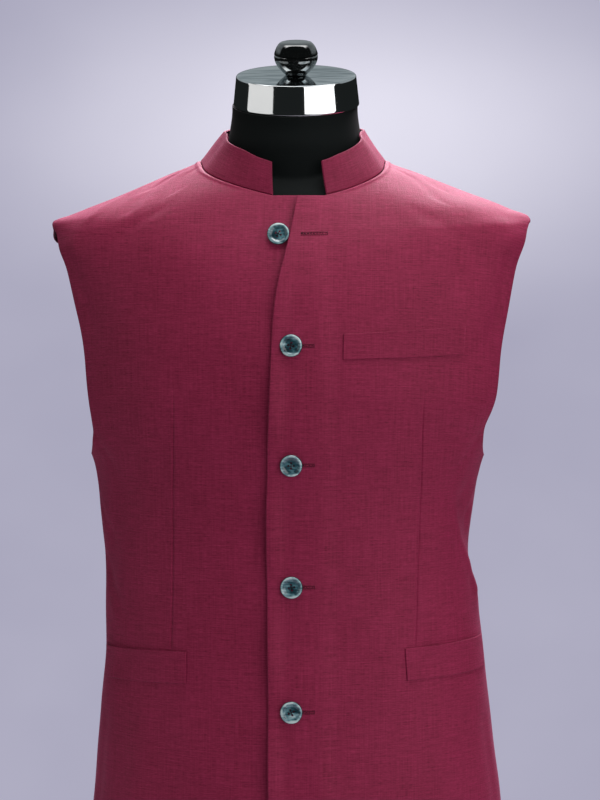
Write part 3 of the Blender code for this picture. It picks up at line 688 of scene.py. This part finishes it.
# The collar's own columns: close ones at both ends, and even ones between
fresh = np.concatenate([COLLAR_ROLL, np.linspace(0.0018, run[-1] - 0.0018, 210),
                        run[-1] - COLLAR_ROLL[::-1]])


def along_line(values):
    """Read what is known along the neckline at the collar's own columns."""
    return np.stack([np.interp(fresh, run, column) for column in values.T], axis=-1)


def rolled_shares(roll, length, inset, count):
    """Return shares of a length: close ones at both rims, and even ones between insets."""
    return np.concatenate([roll / length, np.linspace(inset, 1 - inset, count), 1 - roll[::-1] / length])


collar_up, collar_face, collar_foot = [along_line(values) for values in (upward, facing, line_points)]
tall = along_line(collar_height(np.abs(line_angles))[:, None])[:, 0]
level_share = rolled_shares(COLLAR_ROLL, tall.mean(), 0.06, 16)[:, None]
level_grid = level_share * tall
run_grid = fresh + 0 * level_grid
# The collar's walls sway a little in and out, more at its top
sway = (0.0006 * np.sin(run_grid * 46 + level_grid * 60 + 0.6) * np.sin(level_share * 2.4)
        + 0.0003 * np.sin(run_grid * 101 - level_grid * 90 + 1.1) * level_share)
collar_middle = (collar_foot + collar_up * (SEAM_GAP + level_grid)[..., None]
                 + collar_face * (sway - COLLAR_CLOTH / 2)[..., None])
collar_middle[..., 0] -= END_SLANT * level_share * np.exp(-run_grid / END_SLANT_REACH)
from_end = np.minimum(np.minimum(run_grid, run[-1] - run_grid), np.minimum(level_grid, tall - level_grid))
collar_halves = COLLAR_CLOTH / 2 * rolled(from_end, COLLAR_RADIUS)
collar_normals = np.broadcast_to(collar_face[None], collar_middle.shape)
collar = cloth_wall("collar_cloth", collar_middle, collar_normals, collar_halves, run_grid, level_grid,
                    (burgundy, burgundy))
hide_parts("collar")


# --------------------------------------------------------------
# Pocket welts
# A folded strip of the same cloth over each pocket's mouth, matched to the threads of the front under it.
# It is sewn down along its foot and at both ends, and its top edge is free.

WELT_CLOTH = 0.0011
WELT_GAP = 0.0003
WELT_RADIUS = 0.0006
WELT_ROLL = EDGE_ROLL * 0.6
# A welt's length over that of the straight line between its ends, and how far its free edge stands off
WELT_CURVE = 1.05
WELT_SWELL = 0.0011
# Name, angle at the inner and outer end, height of its top there, and its drop there
WELTS = [
    ("breast_welt", 13.1, 47.7, 0.8416, 0.8468, 0.0225, 0.0250),
    ("hip_welt_right", -32.0, -79.0, 0.5574, 0.5513, 0.0288, 0.0288),
    ("hip_welt_left", 36.0, 82.0, 0.5604, 0.5620, 0.0288, 0.0288)]
for name, start_angle, end_angle, start_top, end_top, start_drop, end_drop in WELTS:
    start_point, end_point = body_points(np.array([start_angle, end_angle]), np.array([start_top, end_top]))
    welt_length = float(np.linalg.norm(end_point - start_point)) * WELT_CURVE
    share_line = rolled_shares(WELT_ROLL, welt_length, 0.012, 64)
    level_line = rolled_shares(WELT_ROLL, start_drop, 0.06, 14)
    level, share = np.meshgrid(level_line[::-1], share_line, indexing="ij")
    angles = start_angle + (end_angle - start_angle) * share
    drops = (start_drop + (end_drop - start_drop) * share) * level
    heights = start_top + (end_top - start_top) * share - drops
    normals = body_normals(angles, heights)
    swell = WELT_SWELL * np.sin(math.pi * share) ** 0.5 * (1 - level) ** 4
    rise = fold_rise(angles, heights) + WELT_GAP + WELT_CLOTH / 2 + swell
    middle = body_points(angles, heights) + normals * rise[..., None]
    from_rim = np.minimum(np.minimum(share, 1 - share) * welt_length,
                          np.minimum(level, 1 - level) * start_drop)
    halves = WELT_CLOTH / 2 * rolled(from_rim, WELT_RADIUS)
    across, along = grain(angles, heights)
    welt = cloth_wall(name + "_cloth", middle, normals, halves, across, along, (burgundy,))
    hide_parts(name)


# --------------------------------------------------------------
# Buttonholes
# Five slits in the left front, each bound by close stitches of dark buttonhole thread laid over its edges.
# Four hold a button at the end near the front edge, and the top one is empty.

# The dark thread sews the buttons on, and its knots along the buttonhole slits are painted shade.
thread, dark_thread_and_slit_shade = [Finish(name, Base_Color=colour, Roughness=0.7, Specular_IOR_Level=0.15)
                       for name, colour in (("buttonhole_thread", (0.115, 0.0085, 0.026, 1)),
                                            ("dark_thread_and_slit_shade", (0.012, 0.004, 0.008, 1)))]
for finish in (thread, dark_thread_and_slit_shade):
    finish.bump(0.5, 0.0001, finish.noise(finish.own_place(), (2600, 2600, 6000)))
# Height and the x of both ends
BUTTONHOLES = [(0.9292, 0.0090, 0.0325)] + [(height, -0.0020, 0.0215) for height in BUTTON_HEIGHTS[1:]]
STITCH_SPACING = 0.00058
# Half sizes of a stitch over the slit's edge and of one in the bar at its end, and how far from the slit's
# middle the stitches lie
STITCH, BAR_STITCH = (0.00031, 0.00095, 0.00024), (0.0005, 0.00032, 0.00025)
STITCH_ASIDE, BAR_ASIDE = 0.0011, 0.0013
SLIT_SHADE_KNOTS, BAR_STITCHES = 9, 7
# How far stitches and the dark knots that paint the shade in the slit lie above the cloth
STITCH_RISE, SLIT_RISE = 0.00002, 0.0001


def on_left_front(x, height, rise):
    """Return a place on the left front, moved out by a rise, and the direction out of the cloth there."""
    height = np.array(height, float)
    angle = np.degrees(np.arcsin(x / left_half(height)))
    point = cloth_points(angle, height, fold_rise(angle, height) + rise, lap_rise(angle, height))
    return Vector(point), Vector(body_normals(angle, height))


def laid_on(point, normal, turned):
    """Return the transform that lays a thing on a point, its top along a normal and turned about it."""
    return (Matrix.Translation(point) @ normal.to_track_quat("Z", "Y").to_matrix().to_4x4()
            @ Matrix.Rotation(turned, 4, "Z"))


def add_knot(bm, x, height, rise, turned, size, material):
    """Lay a rounded bit of thread on the left front."""
    place = laid_on(*on_left_front(x, height, rise), turned) @ Matrix.Diagonal((*size, 1))
    made = bmesh.ops.create_icosphere(bm, subdivisions=1 + material, radius=1, matrix=place)
    paint(made["verts"], material)


# Stitches wobble, each in its own way: the sines make them uneven
bm = bmesh.new()
for height, start, end in BUTTONHOLES:
    count = int((end - start) / STITCH_SPACING)
    for index in range(count + 1):
        x = start + (end - start) * index / count
        for level in (-1, 1):
            wobble = math.sin(index * 2.3 + level + height * 90)
            size = (STITCH[0], STITCH[1] + 0.0003 * wobble, STITCH[2])
            add_knot(bm, x, height + level * STITCH_ASIDE, STITCH_RISE, 0.15 * wobble, size, 0)
    # Dark knots along the middle of the slit stand in for the shade in its gap: painted shade.
    for index in range(SLIT_SHADE_KNOTS):
        share = index / SLIT_SHADE_KNOTS
        wobble = math.sin(index * 4.1 + height * 150)
        size = (0.0013 - 0.0006 * share, 0.00045 * (1.15 - share), 0.0003)
        add_knot(bm, start + (end - start) * (share + 0.04), height + 0.0003 * wobble, SLIT_RISE,
                 0.3 * wobble, size, 1)
    for index in range(BAR_STITCHES):
        level = index / (BAR_STITCHES // 2) - 1
        add_knot(bm, end, height + level * BAR_ASIDE, SLIT_RISE, 0, BAR_STITCH, 0)
buttonholes = new_piece("buttonhole_stitches", bm, (thread.material, dark_thread_and_slit_shade.material))


# --------------------------------------------------------------
# Buttons
# Five four-hole buttons turned from smoky shell, with a dished middle and a polished rim, each sewn on
# with crossed threads and standing a little off the cloth. The top one lies undone on the right front.

OPEN_BUTTON_X, CLOSED_BUTTON_X = -0.0108, 0.0013
BUTTON_GAP = 0.00045
# The loose button hangs forward on its thread: how much its face turns down, how far its middle stands off
HANG_TURN, HANG_RISE = 0.22, 0.0021
# How far the first button is turned about its middle, and each next one more
FIRST_SPIN, MORE_SPIN = 0.35, 0.21
# Radius and height (mm), from the middle of the face outwards and round to the underside
BUTTON_PROFILE = [
    (0, 1.95), (3, 1.95), (5, 2), (6, 2.15), (6.7, 2.45), (7.2, 2.85), (7.7, 3.1), (8.3, 3.2),
    (8.9, 3.18), (9.4, 2.95), (9.8, 2.55), (10, 2.05), (9.9, 1.5), (9.6, 0.85), (9.1, 0.3), (8.4, 0.04),
    (7.8, 0), (0, 0)]
HOLE_SPREAD = 0.0017
HOLE_RADIUS = 0.00100
# The crossed threads: how each is turned and how high it lies, its half sizes, and those of the shank
CROSSED_THREADS = [(45, 0.00215), (-45, 0.00235)]
THREAD = (HOLE_SPREAD * 1.55, 0.00034, 0.00030)
SHANK, SHANK_HEIGHT = (0.0022, 0.0022, 0.0012), -0.0002

shell = Finish("shell", Coat_Weight=0.6, Coat_Roughness=0.06)
face = shell.node("UVMap", {"uv_map": "face"}, {})
place = shell.own_place()
cloudy = shell.noise(place, (130, 130, 210), 2.0)
streak = shell.noise(place, (90, 90, 700), 2.0)
from_middle = shell.node("VectorMath", {"operation": "LENGTH"}, {0: face}, 1)
# The raised rim is lighter all round, a painted highlight, and the outer side wall darker, a painted shade.
painted_rim_highlight = shell.ramp(from_middle, 0.0070, 0.0086, 0.0, 0.45)
painted_flank_shade = shell.ramp(from_middle, 0.0092, 0.0098, 0.0, 0.8)
nacre_and_painted_rim_light = (cloudy - 0.5) * 2.0 + (streak - 0.5) * 0.6 + 0.42 + painted_rim_highlight - painted_flank_shade
shell.feed("Base Color", shell.node("ValToRGB", {"stops": [
    (0.0, (0.006, 0.018, 0.024, 1)), (0.35, (0.018, 0.058, 0.075, 1)), (0.6, (0.060, 0.145, 0.170, 1)),
    (0.85, (0.20, 0.32, 0.345, 1)), (1.0, (0.42, 0.50, 0.51, 1))]}, {0: nacre_and_painted_rim_light}))
shell.feed("Roughness", nacre_and_painted_rim_light * 0.25 + 0.16)


def turned_shell(profile, segments):
    """Spin a profile in millimetres about +Z into a closed bmesh."""
    bm = bmesh.new()
    vertices = [bm.verts.new((radius / 1000, 0, height / 1000)) for radius, height in profile]
    edges = [bm.edges.new(pair) for pair in zip(vertices, vertices[1:])]
    bmesh.ops.spin(bm, geom=vertices + edges, cent=(0, 0, 0), axis=(0, 0, 1), angle=2 * math.pi,
                   steps=segments, use_merge=True)
    bmesh.ops.remove_doubles(bm, verts=bm.verts, dist=0.00001)
    bmesh.ops.recalc_face_normals(bm, faces=bm.faces)
    return bm


blank = bpy.data.objects.new("button_blank", bpy.data.meshes.new("button_blank"))
bm = turned_shell(BUTTON_PROFILE, 56)
uv_layer = bm.loops.layers.uv.new("face")
for face_of_blank in bm.faces:
    for loop in face_of_blank.loops:
        loop[uv_layer].uv = loop.vert.co.xy
bm.to_mesh(blank.data)
bm.free()
drill = bpy.data.objects.new("button_drill", bpy.data.meshes.new("button_drill"))
bm = bmesh.new()
for x in (-HOLE_SPREAD, HOLE_SPREAD):
    for y in (-HOLE_SPREAD, HOLE_SPREAD):
        bmesh.ops.create_cone(bm, cap_ends=True, segments=16, radius1=HOLE_RADIUS, radius2=HOLE_RADIUS,
                              depth=0.01, matrix=Matrix.Translation((x, y, 0)))
bm.to_mesh(drill.data)
bm.free()
for guide in (blank, drill):
    bpy.context.scene.collection.objects.link(guide)
cut = blank.modifiers.new("sewing holes", "BOOLEAN")
cut.operation = "DIFFERENCE"
cut.object = drill
button_mesh = bpy.data.meshes.new_from_object(blank.evaluated_get(bpy.context.evaluated_depsgraph_get()))
for guide in (blank, drill):
    bpy.data.objects.remove(guide)

for index, height in enumerate(BUTTON_HEIGHTS):
    if index == 0:
        spot = np.array(height, float)
        angle = np.degrees(np.arcsin(OPEN_BUTTON_X / right_half(spot)))
        facing_out = body_normals(angle, spot)
        rise = fold_rise(angle, spot) + BUTTON_GAP + HANG_RISE
        point = Vector(body_points(angle, spot) + facing_out * rise)
        facing_out = (Vector(facing_out) - Vector((0, 0, HANG_TURN))).normalized()
    else:
        point, facing_out = on_left_front(CLOSED_BUTTON_X, height, BUTTON_GAP)
    stand = laid_on(point, facing_out, FIRST_SPIN + index * MORE_SPIN)
    bm = bmesh.new()
    bm.from_mesh(button_mesh)
    bmesh.ops.transform(bm, matrix=stand, verts=bm.verts)
    button = new_piece(f"button_{index + 1}_shell", bm, (shell.material,), sharp=50)
    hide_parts(f"button_{index + 1}")
    bm = bmesh.new()
    for turned, arch in CROSSED_THREADS:
        place = Matrix.Translation((0, 0, arch)) @ Matrix.Rotation(math.radians(turned), 4, "Z")
        place = place @ Matrix.Diagonal((*THREAD, 1))
        bmesh.ops.create_icosphere(bm, subdivisions=3, radius=1, matrix=place)
    place = Matrix.Translation((0, 0, SHANK_HEIGHT)) @ Matrix.Diagonal((*SHANK, 1))
    bmesh.ops.create_icosphere(bm, subdivisions=2, radius=1, matrix=place)
    bmesh.ops.transform(bm, matrix=stand, verts=bm.verts)
    threads = new_piece(f"button_{index + 1}_threads", bm, (dark_thread_and_slit_shade.material,))


# --------------------------------------------------------------
# Dress form
# A moulded torso and neck without limbs, flat where the arms would be, with black jersey drawn tight over
# it. The neck leans back a little and is cut square to take the cap.

NECK_TOP = 1.0455
NECK_TILT = 13.0
NECK_RADIUS = 0.0572
NECK_FILLET = 0.012
NECK_FOOT = 0.990
SHOULDERS_END = 0.996
# The neck widens to its foot: by how much, from how far below its top, and over which height
NECK_FLARE, FLARE_BELOW, FLARE_SPAN = 0.0036, 0.004, 0.034
# The arm plates: a height and the half width there, the width's growth with height, the edge's roundness
PLATE_HEIGHT, PLATE_HALF, PLATE_SLOPE, PLATE_ROUNDING = 0.745, 0.168, 0.18, 0.010
# The torso's lower rim is rounded: from which height, over which one, and by which share
RIM_HEIGHT, RIM_SPAN, RIM_SHARE = 0.2345, 0.0035, 0.04
# Shape of the oval that sets the directions of the columns
OVAL_ACROSS, OVAL_DEEP = 0.17, 0.12
# Height, half width, depth in front and behind (mm)
torso_half, torso_front, torso_back = table_curves([
    (231, 172, 109, 109), (262, 176, 113, 113), (330, 178, 115, 115), (405, 176.5, 115, 115),
    (450, 173, 114, 112), (500, 167.5, 112, 106.5), (551, 161, 111, 98.5), (590, 156.5, 110.5, 93.5),
    (632, 153.5, 110.5, 91.5), (670, 154, 113, 93.5), (705, 158, 116.5, 98.5), (730, 165, 119.5, 102),
    (757, 180, 122.5, 106.5), (790, 195, 125.5, 110.5), (828, 200, 123.5, 112.5),
    (868, 205.5, 115.5, 110), (900, 206, 105, 106.5), (920, 205, 96.5, 102), (932, 202, 90.5, 98.5),
    (939.5, 195, 87, 96.5), (947, 184, 84, 96), (953, 170, 80, 93), (960, 153, 75, 89.5),
    (967, 137, 69, 85.5), (973, 123, 63, 81.5), (979, 109.5, 56.5, 77), (985, 96, 49.5, 72),
    (990.5, 85, 43, 66.5), (996, 62, 36, 60)])
form_heights = np.concatenate([
    [0.231, 0.2314, 0.2325, RIM_HEIGHT], np.arange(0.239, 0.930, 0.0085),
    np.arange(0.930, SHOULDERS_END, 0.0022),
    [SHOULDERS_END, 1.000, 1.005, 1.010, 1.016, 1.022, 1.028, 1.034, 1.039, NECK_TOP - SEAM_GAP]])[:, None]
turn = np.linspace(0, 2 * math.pi, 129)[None, :]
direction = unit(np.stack([OVAL_ACROSS * np.sin(turn), -OVAL_DEEP * np.cos(turn)], axis=-1))
depth = np.where(direction[..., 1] <= 0, torso_front(form_heights), torso_back(form_heights))
torso = 1 / np.hypot(direction[..., 0] / torso_half(form_heights), direction[..., 1] / depth)
close = np.maximum(NECK_FILLET - np.abs(torso - NECK_RADIUS), 0)
flare = NECK_FLARE * ease((NECK_TOP - FLARE_BELOW - form_heights) / FLARE_SPAN)
reach = np.where(form_heights <= SHOULDERS_END,
                 np.maximum(torso, NECK_RADIUS) + close ** 2 / (4 * NECK_FILLET), NECK_RADIUS)
reach = np.where(reach < NECK_RADIUS + NECK_FLARE, np.maximum(reach, NECK_RADIUS + flare), reach)
reach = reach * (1 - RIM_SHARE * np.clip((RIM_HEIGHT - form_heights) / RIM_SPAN, 0, 1) ** 2)
wide = np.abs(direction[..., 0]) * reach
limit = PLATE_HALF + (form_heights - PLATE_HEIGHT) * PLATE_SLOPE
past = (wide - limit) / PLATE_ROUNDING
plated = wide - PLATE_ROUNDING * (past + 1) ** 2 / 4
wide = np.where(past <= -1, wide, np.where(past >= 1, limit, plated)) * np.sign(direction[..., 0])
tilt = ease((form_heights - NECK_FOOT) / (NECK_TOP - NECK_FOOT)) * math.tan(math.radians(NECK_TILT))
deep = direction[..., 1] * reach
form_points = np.stack([wide, deep, form_heights + deep * tilt], axis=-1)

bm = bmesh.new()
add_grid(bm, form_points)
bmesh.ops.remove_doubles(bm, verts=bm.verts, dist=0.00001)
bmesh.ops.holes_fill(bm, edges=[edge for edge in bm.edges if edge.is_boundary])
bmesh.ops.recalc_face_normals(bm, faces=bm.faces)
jersey = Finish("black_jersey", Roughness=0.75, Specular_IOR_Level=0.06, Sheen_Weight=0.02,
                Sheen_Roughness=0.4)
knit = jersey.noise(jersey.own_place(), (1500, 1500, 900))
jersey.feed("Base Color", jersey.mix(knit, (0.0012, 0.0020, 0.0020, 1), (0.0050, 0.0066, 0.0066, 1)))
jersey.bump(0.3, 0.0002, knit)
form = new_piece("dress_form_jersey", bm, (jersey.material,), sharp=50)
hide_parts("dress_form")


# --------------------------------------------------------------
# Neck cap and knob
# A spun steel cap, chrome plated, pressed onto the neck, and a turned wooden knob in black lacquer with a
# groove round its widest part, screwed down through the cap.

CAP_HEIGHT = 0.0273
# Radius and height (mm), from the middle of the top outwards and round to the underside
CAP_PROFILE = [
    (0, 27.3), (30, 27.3), (50, 27.2), (53, 27.1), (53.8, 27), (54.3, 26.7), (54.6, 26.3), (54.8, 25.7),
    (54.9, 24.4), (57.2, 3), (57.4, 1.4), (57.3, 0.4), (57, 0), (0, 0)]
KNOB_PROFILE = [
    (0, 30.5), (6, 30.4), (10, 30.2), (13, 29.7), (14.3, 29.3), (15.1, 28.7), (15.8, 28), (16.7, 26.8),
    (17.8, 25.1), (18.7, 23), (19.4, 21.1), (19.8, 19.5), (19.9, 18.9), (19.5, 18.5), (19.2, 18.1),
    (19.5, 17.7), (19.9, 17.3), (19.9, 15.8), (19.6, 13.9), (19, 11.9), (18.1, 9.7), (16.7, 7.3),
    (14.9, 5), (12.9, 2.9), (11.2, 1.3), (10.2, 0.5), (9.6, 0), (0, 0)]
# The cap and its knob sit a little off the neck's middle
CAP_X = 0.0013
tilted = Matrix.Translation((CAP_X, 0, NECK_TOP)) @ Matrix.Rotation(math.radians(NECK_TILT), 4, "X")

chrome = Finish("chrome", Metallic=1.0)
place = chrome.own_place()
smear = chrome.noise(place, (40, 40, 40), 4.0)
# The faces turned up take a streaky colour from dark blue-grey to white: a painted reflection on the cap's
# top.
top_reflection_streaks = chrome.noise(place, (30, 110, 60), 5.0)
facing_up = chrome.axis(chrome.node("NewGeometry", {}, {}, 1), 2)
top_reflection_share = chrome.ramp(facing_up, 0.8, 0.95, kind="LINEAR")
painted_top_reflection = chrome.node("ValToRGB", {"stops": [
    (0.0, (0.16, 0.20, 0.22, 1)), (0.40, (0.42, 0.50, 0.53, 1)), (0.56, (0.80, 0.86, 0.88, 1)),
    (1.0, (1.0, 1.0, 1.0, 1))]}, {0: top_reflection_streaks})
plate = chrome.mix(smear, (0.72, 0.74, 0.76, 1), (0.86, 0.87, 0.88, 1))
chrome.feed("Base Color", chrome.mix(top_reflection_share, plate, painted_top_reflection))
chrome.feed("Roughness", smear * 0.08 + 0.015)
bm = turned_shell(CAP_PROFILE, 128)
bmesh.ops.transform(bm, matrix=tilted, verts=bm.verts)
cap = new_piece("neck_cap_chrome", bm, (chrome.material,), sharp=60)
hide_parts("neck_cap")

lacquer = Finish("black_lacquer", IOR=2.0, Coat_Weight=1.0, Coat_Roughness=0.03, Coat_IOR=2.0)
wood = lacquer.noise(lacquer.own_place(), (120, 120, 900), 3.0)
lacquer.feed("Base Color", lacquer.mix(wood, (0.003, 0.004, 0.004, 1), (0.012, 0.012, 0.012, 1)))
lacquer.feed("Roughness", wood * 0.12 + 0.06)
bm = turned_shell(KNOB_PROFILE, 96)
bmesh.ops.transform(bm, matrix=tilted @ Matrix.Translation((0, 0, CAP_HEIGHT + SEAM_GAP)), verts=bm.verts)
knob = new_piece("cap_knob_turned", bm, (lacquer.material,), sharp=50)
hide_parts("cap_knob")


# --------------------------------------------------------------
# Pole and foot
# A short steel pole under the torso and a heavy round iron foot, both in satin black enamel. The photo
# doesn't show them, so they are plain.

# Radius and height (mm), from the middle of the top outwards and round to the underside
BASE_PROFILE = [
    (0, 18), (30, 18), (34, 17.8), (60, 16.3), (100, 14.1), (120, 13), (136, 11.5), (144, 10.2),
    (147.5, 8.6), (149.5, 6.6), (150, 4.5), (150, 1.5), (149.4, 0.4), (148.4, 0), (0, 0)]
POLE_PROFILE = [
    (0, 230.7), (29.2, 230.7), (29.8, 230.4), (30, 229.8), (30, 223.4), (29.7, 222.7), (28.8, 221.9),
    (20, 218), (18, 216.7), (16, 211), (14.6, 204), (14, 200), (14, 44.5), (14.6, 40), (16, 35),
    (18, 30.3), (21.2, 23.5), (22, 22), (22, 19), (21.7, 18.3), (0, 18.3)]
enamel = Finish("black_enamel", Coat_Weight=0.25, Coat_Roughness=0.2)
place = enamel.own_place()
peel = enamel.noise(place, (700, 700, 700))
worn = enamel.noise(place, (30, 30, 30), 4.0)
enamel.feed("Base Color", enamel.mix(worn, (0.010, 0.010, 0.011, 1), (0.024, 0.024, 0.026, 1)))
enamel.feed("Roughness", worn * 0.25 + 0.26)
enamel.bump(0.15, 0.0002, peel)
for node, profile, segments in (("stand_pole", POLE_PROFILE, 64), ("stand_base", BASE_PROFILE, 160)):
    stand = new_piece(node + "_enamel", turned_shell(profile, segments), (enamel.material,), sharp=60)
    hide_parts(node)


# --------------------------------------------------------------
# Floor, light and camera
# A pale round floor that fades out at its rim, a soft light on each side, three overhead and a low fill by
# the camera, in a lavender room. Polished things mirror a dark room with a pale ceiling instead. The camera
# stands where the photo was taken.

bm = bmesh.new()
bmesh.ops.create_circle(bm, cap_ends=True, segments=128, radius=1.7)
floor_finish = Finish("pale_floor", Base_Color=(0.62, 0.61, 0.68, 1), Roughness=0.7)
radius = floor_finish.node("VectorMath", {"operation": "LENGTH"}, {0: floor_finish.own_place()}, 1)
floor_finish.feed("Alpha", floor_finish.ramp(radius, 0.7, 1.65, 1.0, 0.0))
floor = new_piece("floor", bm, (floor_finish.material,))

scene = bpy.context.scene
world = scene.world or bpy.data.worlds.new("room")
scene.world = world
world.use_nodes = True
room = Nodes(world.node_tree)
direction = room.node("TexCoord", {}, {}, 0)
# The wall is lit behind the form, in a round patch that is squashed in height
WALL_SQUASH = 2.1
mottle = room.noise(direction, (11, 11, 15), 3.0)
from_patch = room.node("VectorMath", {"operation": "DISTANCE"}, {
    0: room.scaled(direction, (1, 1, WALL_SQUASH)), 1: (-0.020, 0.999, 0.025 * WALL_SQUASH)}, 1)
lit_wall = (1 - room.ramp(from_patch, 0.0, 0.17)) * 0.78 + (mottle - 0.5) * 0.22 + 0.03
wall_colour = room.mix(lit_wall, (0.40, 0.39, 0.51, 1), (0.86, 0.84, 0.96, 1))
# What polished things mirror: a dark room, a pale ceiling behind the form, and a bright strip across it
MIRRORED_DARK, STRIP_LIGHT = (0.012, 0.014, 0.014, 1), (3, 3, 3, 1)
beside, behind, above = [room.axis(direction, axis) for axis in range(3)]
aside = room.node("Math", {"operation": "ABSOLUTE"}, {0: beside})
streaks = room.noise(direction, (5, 2, 22), 3.0)
ceiling = room.mix(streaks, (0.06, 0.09, 0.10, 1), (0.52, 0.56, 0.58, 1))
ceiling = room.mix(room.ramp(behind, 0.0, 0.14), MIRRORED_DARK, ceiling)
strip = (room.ramp(behind, -0.30, -0.24) * (1 - room.ramp(behind, 0.08, 0.16))
         * (1 - room.ramp(aside, 0.55, 0.75)))
ceiling = room.mix(strip, ceiling, STRIP_LIGHT)
mirrored = room.mix(room.ramp(above, 0.15, 0.34), MIRRORED_DARK, ceiling)
# What lights everything else: next to nothing, because the soft lights do
SHADE = (0.015, 0.015, 0.016, 1)
camera_ray, glossy_ray = [room.node("LightPath", {}, {}, output) for output in (0, 3)]
seen, reflected, shade = [room.node("Background", {}, {"Color": colour})
                          for colour in (wall_colour, mirrored, SHADE)]
unseen = room.node("MixShader", {}, {0: glossy_ray, 1: shade, 2: reflected})
both = room.node("MixShader", {}, {0: camera_ray, 1: unseen, 2: seen})
room.tree.links.new(both.socket, room.tree.nodes["World Output"].inputs["Surface"])


def add_softbox(name, place, target, size, power, colour):
    """Hang a rectangular soft light that faces a target."""
    light = bpy.data.lights.new(name, "AREA")
    light.shape = "RECTANGLE"
    light.size, light.size_y = size
    light.energy = power
    light.color = colour
    softbox = bpy.data.objects.new(name, light)
    softbox.location = place
    softbox.rotation_euler = (Vector(place) - Vector(target)).to_track_quat("Z", "Y").to_euler()
    scene.collection.objects.link(softbox)
    return softbox


softboxes = [
    add_softbox("softbox_left", (-1.95, -0.72, 1.25), (0, 0, 0.95), (2.3, 1.9), 11.2, (1.0, 0.99, 0.97)),
    add_softbox("softbox_right", (1.52, -1.40, 1.25), (0, 0, 0.95), (2.5, 1.9), 29.0, (1.0, 1.0, 1.0))]
overhead = [
    add_softbox("top_light", (0.20, 0.05, 2.25), (0.03, 0, 0.95), (1.1, 0.9), 17.5, (1.0, 0.99, 1.0)),
    add_softbox("rear_light", (0.16, 1.0, 2.1), (0.03, 0, 0.95), (1.3, 0.8), 84.0, (1.0, 0.88, 0.98))]
front_top = [add_softbox("front_top", (0.3, -0.55, 2.3), (0, 0, 0.95), (1.2, 0.7), 9.0, (1.0, 1.0, 1.0))]
front_fill = add_softbox("front_fill", (0.3, -3.3, 0.9), (0, 0, 0.8), (2.0, 0.9), 14.4, (1.0, 1.0, 1.0))
front_fill.visible_glossy = False
# The polished cap and knob mirror the room in place of the lights overhead, and the knob in place of the
# softboxes too. The collar gets none of the front top light, which would make it too pale.
for lights, unlit in ((overhead, (cap, knob)), (front_top, (cap, knob, collar)), (softboxes, (knob,))):
    hidden_from = bpy.data.collections.new("unlit_by_" + lights[0].name)
    for piece in unlit:
        hidden_from.objects.link(piece)
    for link in hidden_from.collection_objects:
        link.light_linking.link_state = "EXCLUDE"
    for light in lights:
        light.light_linking.receiver_collection = hidden_from

TARGET = Vector((0.0046, 0.0, 0.775))
AZIMUTH, ELEVATION, DISTANCE = math.radians(2.0), math.radians(4.0), 2.6
camera_data = bpy.data.cameras.new("camera")
camera_data.sensor_fit = "VERTICAL"
camera_data.sensor_height = 36.0
camera_data.lens = 127.2
camera = bpy.data.objects.new("camera", camera_data)
scene.collection.objects.link(camera)
to_camera = Vector((math.sin(AZIMUTH) * math.cos(ELEVATION), -math.cos(AZIMUTH) * math.cos(ELEVATION),
                    math.sin(ELEVATION)))
camera.location = TARGET + to_camera * DISTANCE
camera.rotation_euler = to_camera.to_track_quat("Z", "Y").to_euler()
scene.camera = camera
scene.view_settings.view_transform = "Standard"
